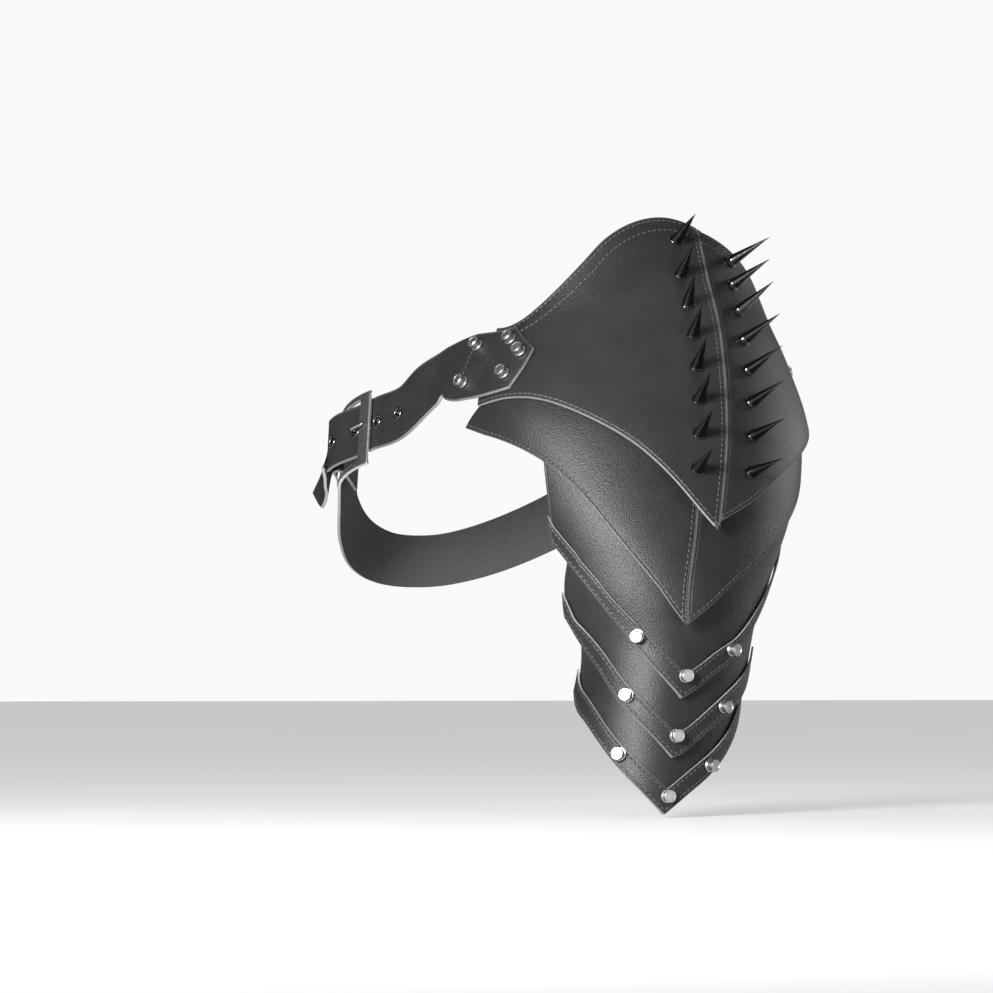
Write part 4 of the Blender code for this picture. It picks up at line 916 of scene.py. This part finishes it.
# Straps. One chest strap of firm leather with a riveted head, four eyelets and a pointed tail, and
# one body strap that runs round the body to the buckle and is folded round its back bar.
STRAP_WIDTH, TAIL_POINT, HOLE_PITCH, HEAD_POINT = 40 * MM, 12 * MM, 26 * MM, 15 * MM
HEAD_END, HEAD_BLEND = 72 * MM, 22 * MM
BUCKLE_LENGTH, BUCKLE_HEIGHT, BUCKLE_RISE, BUCKLE_THICKNESS = 55 * MM, 57 * MM, 5 * MM, 2.4 * MM
BUCKLE_FRONT_BAR, BUCKLE_BACK_BAR, BUCKLE_RAIL = 11 * MM, 3.4 * MM, 5 * MM
BUCKLE_CENTRE = np.array([-221.5, -145.0, -130.6]) * MM
BUCKLE_TURN, BUCKLE_LEAN, BUCKLE_DROP, STRAP_RIDE = 12, 10, 17, 3 * MM
Station = namedtuple("Station", "x y z lean")
CHEST_RUN = (
    Station(-134, -138.5, -101, 12), Station(-162, -139.5, -115.5, 10),
)
CHEST_TAIL = (
    Station(-256, -136, -145.5, 16), Station(-266.3, -132.3, -153.6, 18),
    Station(-279, -130.4, -162.8, 20), Station(-288.9, -132, -166.7, 20),
)
BODY_RUN = (
    Station(-138, 113, -104, 6), Station(-190, 104, -134, 10), Station(-252, 84, -170, 14),
    Station(-305, 55, -196, 14), Station(-340, 20, -210, 14), Station(-351, -20, -211, 14),
    Station(-336, -58, -202, 14), Station(-304, -92, -184, 14), Station(-272, -114, -161, 14),
)
BUCKLE_PASS = ((-28, -8.3), (-22, -6.9), (-16.6, -5.6), (-11, -4.1), (-7, -2.9), (0, -0.4),
               (8, 2.3), (14, 3.8), (19, 4.4), (25.6, 4.2), (30, 2.7))
PASS_ON_PRONG = 4
FOLD_RADIUS, FOLD_LEAVE, FOLD_LEG, FOLD_STEP = 3.9 * MM, 45, 32 * MM, 20
SLOT_HALF, SLOT_REACH = 2.7 * MM, 7 * MM
STRAP_FACE = leather_finish("strap_leather_satin", 0.012, 0.46, 1150.0, 0.5)


def buckle_axes():
    """The buckle's ways along the strap, up its bars and outwards."""
    turn, lean, drop = (math.radians(v) for v in (BUCKLE_TURN, BUCKLE_LEAN, BUCKLE_DROP))
    out = np.array([
        -math.sin(turn) * math.cos(lean), -math.cos(turn) * math.cos(lean), math.sin(lean),
    ])
    level = np.array([-math.cos(turn), math.sin(turn), 0.0])
    rise = np.cross(level, out)
    along = level * math.cos(drop) - rise * math.sin(drop)
    up = level * math.sin(drop) + rise * math.cos(drop)
    return along, up, out


BUCKLE_ALONG, BUCKLE_UP, BUCKLE_OUT = buckle_axes()


def buckle_point(along, up, out):
    along, up, out = (np.asarray(v, dtype=float)[..., None] for v in (along, up, out))
    return BUCKLE_CENTRE + BUCKLE_ALONG * along + BUCKLE_UP * up + BUCKLE_OUT * out


def plate_rise(along):
    return -BUCKLE_RISE * (2 * along / BUCKLE_LENGTH) ** 2


def station_ups(points, leans, side):
    ups = []
    for i, lean in enumerate(leans):
        way = unit(points[min(i + 1, len(points) - 1)] - points[max(i - 1, 0)])
        rise = unit(np.array([0.0, 0.0, 1.0]) - way * way[2])
        out = side * np.cross(way, rise)
        turn = math.radians(lean)
        ups.append(rise * math.cos(turn) - out * math.sin(turn))
    return ups


def path_rows(points, ups):
    lengths = run_length(np.array(points))
    return [(length, *point, *up) for length, point, up in zip(lengths, points, ups)]


def ribbon_point(rows, side, length, across, depth):
    here = read_rows(rows, length)
    way = unit((read_rows(rows, length + MM / 4) - read_rows(rows, length - MM / 4))[..., :3])
    up = here[..., 3:] - way * np.sum(here[..., 3:] * way, -1, keepdims=True)
    up = unit(up)
    out = side * np.cross(way, up)
    return here[..., :3] + up * across[..., None] + out * (0.5 - depth) * STRAP_LEATHER


def strap_points(side, rows, along, across, depth=0.0):
    """Points of a strap's outer face: its head on the cap, and then its free run."""
    along, across = np.broadcast_arrays(np.array(along, dtype=float), np.array(across, dtype=float))
    out = ribbon_point(rows, side, np.maximum(along - HEAD_END, 0), across, depth)
    head = along < HEAD_END + HEAD_BLEND
    s, t = head_place(side, along[head], -across[head])
    on_cap = lifted(strap_lift, s, t, depth * STRAP_LEATHER)
    share = smooth_step((along[head] - HEAD_END) / HEAD_BLEND)[:, None]
    out[head] = out[head] * share + on_cap * (1 - share)
    return out


def half_width(along, length, tip):
    """Half a strap's width along it: its pointed head, its waist, and its tail."""
    waist = smooth_step((along - 0.84 * HEAD_LENGTH) / (0.42 * HEAD_LENGTH))
    wide = HEAD_WIDTH / 2 + (STRAP_WIDTH - HEAD_WIDTH) / 2 * waist
    ends = [0, HEAD_POINT, length - tip, length]
    return wide * np.interp(along, ends, [0, 1, 1, 0 if tip > MM else 1])


def cut_away(piece, marks, flip):
    """Deletes a sheet's marked faces, and turns the rest over where they look inwards."""
    bpy.ops.object.mode_set(mode="EDIT")
    bpy.ops.mesh.select_all(action="DESELECT")
    bpy.ops.object.mode_set(mode="OBJECT")
    for polygon, mark in zip(piece.data.polygons, marks):
        polygon.select = bool(mark)
    bpy.ops.object.mode_set(mode="EDIT")
    bpy.ops.mesh.select_mode(type="FACE")
    bpy.ops.mesh.delete(type="FACE")
    bpy.ops.mesh.select_all(action="SELECT")
    if flip:
        bpy.ops.mesh.flip_normals()
    bpy.ops.mesh.remove_doubles(threshold=MERGE)
    bpy.ops.object.mode_set(mode="OBJECT")


STRAP_STEP, STRAP_LEAST_STEP, STRAP_ROWS, WAIST_PLACES = 1.6 * MM, 0.25 * MM, 27, (0.86, 0.98)


def strap_wall(name, side, rows, length, tip, cuts):
    """A strap's wall, with round or long holes cut by the places of its faces."""
    waist = [share * HEAD_LENGTH for share in WAIST_PLACES]
    fixed = [0, HEAD_POINT, *waist, length - tip, length]
    along = np.unique(np.round(np.concatenate([np.arange(0, length, STRAP_STEP), fixed]), 7))
    along = along[np.concatenate([[True], np.diff(along) > STRAP_LEAST_STEP])]
    along[-1] = length
    share = np.linspace(-1, 1, STRAP_ROWS)
    across = share[:, None] * half_width(along, length, tip)[None, :]
    table = strap_points(side, rows, np.broadcast_to(along[None, :], across.shape), across)
    piece, row, column = grid_sheet(name, table)
    numbers = np.minimum(edge_numbers(table, ("top", "hem")), (along[None, :] + 2 * MM) / MM)
    mark_edges(piece, numbers[row, column])
    places = np.stack([along[column], across[row, column]], axis=1)
    centres = [places[list(polygon.vertices)].mean(axis=0) for polygon in piece.data.polygons]
    middle = piece.data.polygons[len(piece.data.polygons) // 2]
    i = int(column[middle.vertices[0]])
    outer, inner = (strap_points(side, rows, along[i:i + 1], np.zeros(1), d)[0] for d in (0.0, 1.0))
    flip = middle.normal.dot(Vector(outer - inner)) < 0
    cut_away(piece, [any(cut(a, b) for cut in cuts) for a, b in centres], flip)
    give_wall(piece, STRAP_LEATHER, (STRAP_FACE, FLESH_SIDE, CUT_EDGE), 60, 0.3 * MM)
    bpy.ops.object.shade_smooth_by_angle(angle=math.radians(38))
    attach(piece, "root")
    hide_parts(name)


def strap_line(side, rows, along, across):
    """A run on a strap for stitches."""
    outer = strap_points(side, rows, along, across)
    inner = strap_points(side, rows, along, across, 1.0)
    out = unit(outer - inner)
    return outer - out * STITCH_SUNK, out


def head_start(side):
    """The first point of a strap's free run, and the way up across it."""
    s, t = head_place(side, HEAD_END, 0.0)
    middle = lifted(strap_lift, s, t, 0.5 * STRAP_LEATHER)
    s, t = head_place(side, HEAD_END, -MM)
    return middle, unit(lifted(strap_lift, s, t, 0.5 * STRAP_LEATHER) - middle)


def station_points(stations):
    return [np.array([p.x, p.y, p.z]) * MM for p in stations]


start, start_up = head_start(-1)
run, tail = station_points(CHEST_RUN), station_points(CHEST_TAIL)
passed = [buckle_point(u * MM, STRAP_RIDE, n * MM) for u, n in BUCKLE_PASS]
chest_points = [start] + run + passed + tail
leans = [0] + [p.lean for p in CHEST_RUN] + [0] * len(passed) + [p.lean for p in CHEST_TAIL]
ups = station_ups(chest_points, leans, -1)
ups[0] = start_up
first = 1 + len(run)
ups[first:first + len(passed)] = [BUCKLE_UP] * len(passed)
ups[2] = unit(ups[2] * 0.5 + BUCKLE_UP * 0.5)
CHEST_ROWS = path_rows(chest_points, ups)
PRONG_AT = HEAD_END + CHEST_ROWS[first + PASS_ON_PRONG][0]
CHEST_LENGTH = HEAD_END + CHEST_ROWS[-1][0]
EYELETS = [PRONG_AT + HOLE_PITCH * k for k in (-2, -1, 0, 1)]
HOLE_CUT, HEAD_STITCH_AT, HEAD_STITCH_HALF = 3.7 * MM, 0.83, 0.62
strap_wall(
    "chest_strap", -1, CHEST_ROWS, CHEST_LENGTH, TAIL_POINT,
    [lambda a, b, at=at: math.hypot(a - at, b) < HOLE_CUT for at in EYELETS],
)
start, start_up = head_start(1)
run = station_points(BODY_RUN)
bar = (BUCKLE_LENGTH - BUCKLE_BACK_BAR) / 2
fold_centre = np.array([bar, plate_rise(bar)])
fold = []
for turn in range(FOLD_LEAVE, FOLD_LEAVE + 181, FOLD_STEP):
    angle = math.radians(turn)
    fold.append(fold_centre + FOLD_RADIUS * np.array([math.cos(angle), math.sin(angle)]))
leave = math.radians(FOLD_LEAVE - 90)
way = np.array([math.cos(leave), math.sin(leave)])
rise = np.array([-way[1], way[0]])
entry = [fold[0] + way * (distance * MM) for distance in (14, 8, 3)]
legs = []
for share in (0.12, 0.4, 1.0):
    close = smooth_step(share) * (2 * FOLD_RADIUS - STRAP_LEATHER - 2 * LAYER_GAP)
    legs.append(fold[0] - 2 * FOLD_RADIUS * rise + way * FOLD_LEG * share + rise * close)
around = [buckle_point(u, STRAP_RIDE, n) for u, n in entry + fold + legs]
body_points = [start] + run + around
ups = station_ups(body_points, [0] + [p.lean for p in BODY_RUN] + [0] * len(around), 1)
ups[0] = start_up
ups[1 + len(run):] = [BUCKLE_UP] * len(around)
BODY_ROWS = path_rows(body_points, ups)
BODY_LENGTH = HEAD_END + BODY_ROWS[-1][0]
FOLD_FROM = HEAD_END + BODY_ROWS[1 + len(run) + 3][0]
FOLD_TO = FOLD_FROM + math.pi * FOLD_RADIUS
strap_wall(
    "body_strap", 1, BODY_ROWS, BODY_LENGTH, 0.01 * MM,
    [lambda a, b: FOLD_FROM - SLOT_REACH < a < FOLD_TO + SLOT_REACH and abs(b) < SLOT_HALF],
)
for side, rows, name in ((-1, CHEST_ROWS, "chest"), (1, BODY_ROWS, "body")):
    across = np.linspace(-HEAD_STITCH_HALF, HEAD_STITCH_HALF, 30) * HEAD_WIDTH / 2
    line = strap_line(side, rows, np.full(across.shape, HEAD_STITCH_AT * HEAD_LENGTH), across)
    stitching(f"{name}_head_stitching", [line])


# Eyelets. Dark gunmetal tubes pressed through the chest strap, with a rolled rim on both faces.
EYELET_BORE, EYELET_METAL, SAME_PLACE = 2.8 * MM, 0.35 * MM, 1e-6
EYELET_SEAT = STRAP_LEATHER / 2 + SEAT_GAP
EYELET_ROLL = ((3.6, 0.62), (4.1, 0.68), (4.55, 0.45), (4.7, 0.1))
GUNMETAL = metal_finish("eyelet_gunmetal", 0.14, 0.20, 900.0, 0.15)
for i, at in enumerate(EYELETS):
    outer = strap_points(-1, CHEST_ROWS, np.array([at]), np.zeros(1), 0.0)[0]
    inner = strap_points(-1, CHEST_ROWS, np.array([at]), np.zeros(1), 1.0)[0]
    axis, middle = unit(outer - inner), (outer + inner) / 2
    bpy.ops.object.select_all(action="DESELECT")
    bpy.ops.mesh.primitive_cylinder_add(
        vertices=40, radius=EYELET_BORE + EYELET_METAL, depth=2 * EYELET_SEAT,
        end_fill_type="NOTHING",
    )
    eyelet = bpy.context.object
    eyelet.name = eyelet.data.name = f"eyelet_ring_{i + 1}"
    for face in (-1, 1):
        radius, height = EYELET_BORE + EYELET_METAL, EYELET_SEAT
        for reach, rise in EYELET_ROLL:
            bpy.ops.object.mode_set(mode="EDIT")
            bpy.ops.mesh.select_mode(type="VERT")
            bpy.ops.mesh.select_all(action="DESELECT")
            bpy.ops.object.mode_set(mode="OBJECT")
            for vertex in eyelet.data.vertices:
                level = abs(vertex.co.z * face - height) < SAME_PLACE
                round_it = abs(math.hypot(vertex.co.x, vertex.co.y) - radius) < SAME_PLACE
                vertex.select = level and round_it
            new_radius, new_height = reach * MM, EYELET_SEAT + rise * MM
            bpy.ops.object.mode_set(mode="EDIT")
            move = {"value": (0, 0, face * (new_height - height))}
            bpy.ops.mesh.extrude_region_move(TRANSFORM_OT_translate=move)
            grow = new_radius / radius
            bpy.ops.transform.resize(
                value=(grow, grow, 1), center_override=(0, 0, face * new_height)
            )
            bpy.ops.object.mode_set(mode="OBJECT")
            radius, height = new_radius, new_height
    wall = eyelet.modifiers.new("wall", "SOLIDIFY")
    wall.thickness = EYELET_METAL
    wall.offset = 0
    bpy.ops.object.modifier_apply(modifier="wall")
    bpy.ops.object.shade_smooth_by_angle(angle=math.radians(50))
    side = unit(np.cross(axis, [0.0, 0.0, 1.0]))
    turn = Matrix([side, np.cross(axis, side), axis]).transposed().to_4x4()
    eyelet.data.transform(Matrix.Translation(Vector(middle)) @ turn)
    eyelet.data.materials.append(GUNMETAL)
    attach(eyelet, "root")
    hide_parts(f"eyelet_{i + 1}")


# Buckle. A sharp-cornered frame cast in nickel-plated alloy, arched along the strap, with a wide
# flat front bar, and a round wire prong hooked round its back bar.
BUCKLE_FACE = metal_finish("buckle_satin_nickel", 0.30, 0.42, 420.0, 0.35)
# The frame's rims and bevelled edges get a much brighter metal than its face: a painted highlight along
# the edges.
BUCKLE_EDGE_HIGHLIGHT = metal_finish("buckle_edge_painted_highlight", 0.9, 0.36, 420.0, 0.1)
HOOK_RADIUS, PRONG_RADIUS, PRONG_TAPER, PRONG_SIDES, PRONG_RINGS = 4.5 * MM, 1.6 * MM, 3 * MM, 20, 90
PRONG_PASS = ((12, -8.8), (0, -8.6), (-3.8, -7.8), (-5.7, -6.0), (-6.5, -4.2), (-7.5, -1.3),
              (-8.8, 0.8), (-10.8, 2.0), (-13.5, 2.1), (-18, 1.2), (-21.5, 0.2), (-23.5, -0.4))
half_length, half_height = BUCKLE_LENGTH / 2, BUCKLE_HEIGHT / 2
inner_height = half_height - BUCKLE_RAIL
inner_front, inner_back = BUCKLE_FRONT_BAR - half_length, half_length - BUCKLE_BACK_BAR
along = np.concatenate([
    np.linspace(-half_length, inner_front, 5)[:-1], np.linspace(inner_front, inner_back, 22)[:-1],
    np.linspace(inner_back, half_length, 3),
])
across = np.concatenate([
    np.linspace(-half_height, -inner_height, 3)[:-1], np.linspace(-inner_height, inner_height, 14)[:-1],
    np.linspace(inner_height, half_height, 3),
])
face_height = plate_rise(along) + BUCKLE_THICKNESS / 2
table = buckle_point(along[None, :], across[:, None], face_height[None, :])
buckle, row, column = grid_sheet("buckle_arched_frame", table)
window = []
for polygon in buckle.data.polygons:
    u = along[column[list(polygon.vertices)]].mean()
    w = across[row[list(polygon.vertices)]].mean()
    window.append(inner_front < u < inner_back and abs(w) < inner_height)
cut_away(buckle, window, buckle.data.polygons[0].normal.dot(Vector(BUCKLE_OUT)) < 0)
# The rims and bevels take the bright edge metal, a painted highlight.
give_wall(buckle, BUCKLE_THICKNESS, (BUCKLE_FACE, BUCKLE_EDGE_HIGHLIGHT), 60, 0.8 * MM, 0, 1, 1)
bpy.ops.object.shade_smooth_by_angle(angle=math.radians(30))
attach(buckle, "root")
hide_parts("buckle_frame")

bar = half_length - BUCKLE_BACK_BAR / 2
hook = [math.radians(turn) for turn in range(150, -91, -24)]
path = [(bar + HOOK_RADIUS * math.cos(a), plate_rise(bar) + HOOK_RADIUS * math.sin(a)) for a in hook]
path += [(u * MM, n * MM) for u, n in PRONG_PASS]
lengths = run_length(np.array(path))
at = np.linspace(0, lengths[-1], PRONG_RINGS)
smooth = read_rows([(a, *b) for a, b in zip(lengths, path)], at)
middle = buckle_point(smooth[:, 0], STRAP_RIDE, smooth[:, 1])
ways = unit(np.gradient(middle, axis=0))
thick = PRONG_RADIUS * np.sqrt(np.clip((lengths[-1] - at) / PRONG_TAPER, 0.06, 1))
thick[:2] *= (0.6, 0.9)
verts, faces = [], []
for point, way, radius in zip(middle, ways, thick):
    other = np.cross(way, BUCKLE_UP)
    for j in range(PRONG_SIDES):
        turn = 2 * math.pi * j / PRONG_SIDES
        ray = math.cos(turn) * BUCKLE_UP + math.sin(turn) * other
        verts.append(tuple(point + radius * ray))
for i in range(len(middle) - 1):
    for j in range(PRONG_SIDES):
        k = (j + 1) % PRONG_SIDES
        a = i * PRONG_SIDES
        faces.append((a + j, a + k, a + PRONG_SIDES + k, a + PRONG_SIDES + j))
faces.append(tuple(range(PRONG_SIDES))[::-1])
faces.append(tuple((len(middle) - 1) * PRONG_SIDES + j for j in range(PRONG_SIDES)))
mesh = bpy.data.meshes.new("buckle_wire_prong")
mesh.from_pydata(verts, [], faces)
prong = bpy.data.objects.new("buckle_wire_prong", mesh)
bpy.context.scene.collection.objects.link(prong)
mesh.shade_smooth()
mesh.materials.append(metal_finish("prong_steel", 0.5, 0.17, 600.0, 0.1))
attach(prong, "root")
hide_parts("buckle_prong")


# Studio. A pale floor under the hanging harness, a key light from the front, a broad fill, a rim
# light from behind, a soft sun overhead, and the camera at the photograph's angle.
bpy.ops.object.select_all(action="DESELECT")
bpy.ops.mesh.primitive_plane_add(size=60, location=(0, 0, CAD_BOX[0][2] - 2 * MM))
floor = bpy.context.object
floor.name = "studio_floor"
material, shader, node, link = node_tree("pale_floor")
place = node("ShaderNodeTexCoord").outputs["Object"]
mottle = node("ShaderNodeTexNoise", Vector=place, Scale=3.0, Detail=2.0)
link(ramp(node, mottle.outputs["Fac"], ((0.3, 0.22), (0.7, 0.25))), shader.inputs["Base Color"])
shader.inputs["Roughness"].default_value = 0.8
shader.inputs["Emission Color"].default_value = (1, 1, 1, 1)
shader.inputs["Emission Strength"].default_value = 0.5
floor.data.materials.append(material)

world = bpy.data.worlds.new("studio")
bpy.context.scene.world = world
world.use_nodes = True
lit = world.node_tree.nodes["Background"]
lit.inputs["Strength"].default_value = 0.07
lit.inputs["Color"].default_value = (1, 1, 1, 1)
paper = world.node_tree.nodes.new("ShaderNodeBackground")
paper.inputs["Color"].default_value = (1, 1, 1, 1)
paper.inputs["Strength"].default_value = 0.95
seen = world.node_tree.nodes.new("ShaderNodeLightPath")
either = world.node_tree.nodes.new("ShaderNodeMixShader")
world.node_tree.links.new(seen.outputs["Is Camera Ray"], either.inputs["Fac"])
world.node_tree.links.new(lit.outputs[0], either.inputs[1])
world.node_tree.links.new(paper.outputs[0], either.inputs[2])
world.node_tree.links.new(either.outputs[0], world.node_tree.nodes["World Output"].inputs["Surface"])
bpy.context.scene.view_settings.view_transform = "Standard"

PIXELS_PER_METRE, FRAME_MIDDLE_X, FRAME_MIDDLE_Y = 1450.0, 203.5, 256.5
CAMERA_AWAY, SENSOR, FRAME_PIXELS = 2.6, 36.0, 993
LIGHT_AIM = (-0.05, -0.03, -0.17)
toward = Vector((0.818, -0.573, -0.052)).normalized()
right = Vector((0.5736, 0.8192, 0.0)).normalized()
up = toward.cross(right)
centre = -right * (FRAME_MIDDLE_X / PIXELS_PER_METRE) - up * (FRAME_MIDDLE_Y / PIXELS_PER_METRE)


def soft_light(name, place, size, power):
    light = bpy.data.lights.new(name, "AREA")
    light.size = size
    light.energy = power
    lamp = bpy.data.objects.new(name, light)
    bpy.context.scene.collection.objects.link(lamp)
    lamp.location = place
    aim = Vector(LIGHT_AIM) - Vector(place)
    lamp.rotation_euler = aim.to_track_quat("-Z", "Y").to_euler()


soft_light("key", tuple(toward * 1.3 - right * 0.75 + up * 0.2), 0.4, 66)
soft_light("fill", tuple(toward * 1.5 + right * 1.0 + up * 0.1), 1.2, 6)
soft_light("rim", tuple(-toward * 0.9 + right * 1.3 + up * 0.2), 0.7, 7)
sky = bpy.data.lights.new("overhead", "SUN")
sky.energy = 0.7
sky.angle = math.radians(45)
bpy.context.scene.collection.objects.link(bpy.data.objects.new("overhead", sky))

camera = bpy.data.objects.new("camera", bpy.data.cameras.new("camera"))
bpy.context.scene.collection.objects.link(camera)
camera.data.sensor_width = SENSOR
camera.data.lens = SENSOR * CAMERA_AWAY / (FRAME_PIXELS / PIXELS_PER_METRE)
camera.location = centre + toward * CAMERA_AWAY
camera.rotation_euler = toward.to_track_quat("Z", "Y").to_euler()
bpy.context.scene.camera = camera
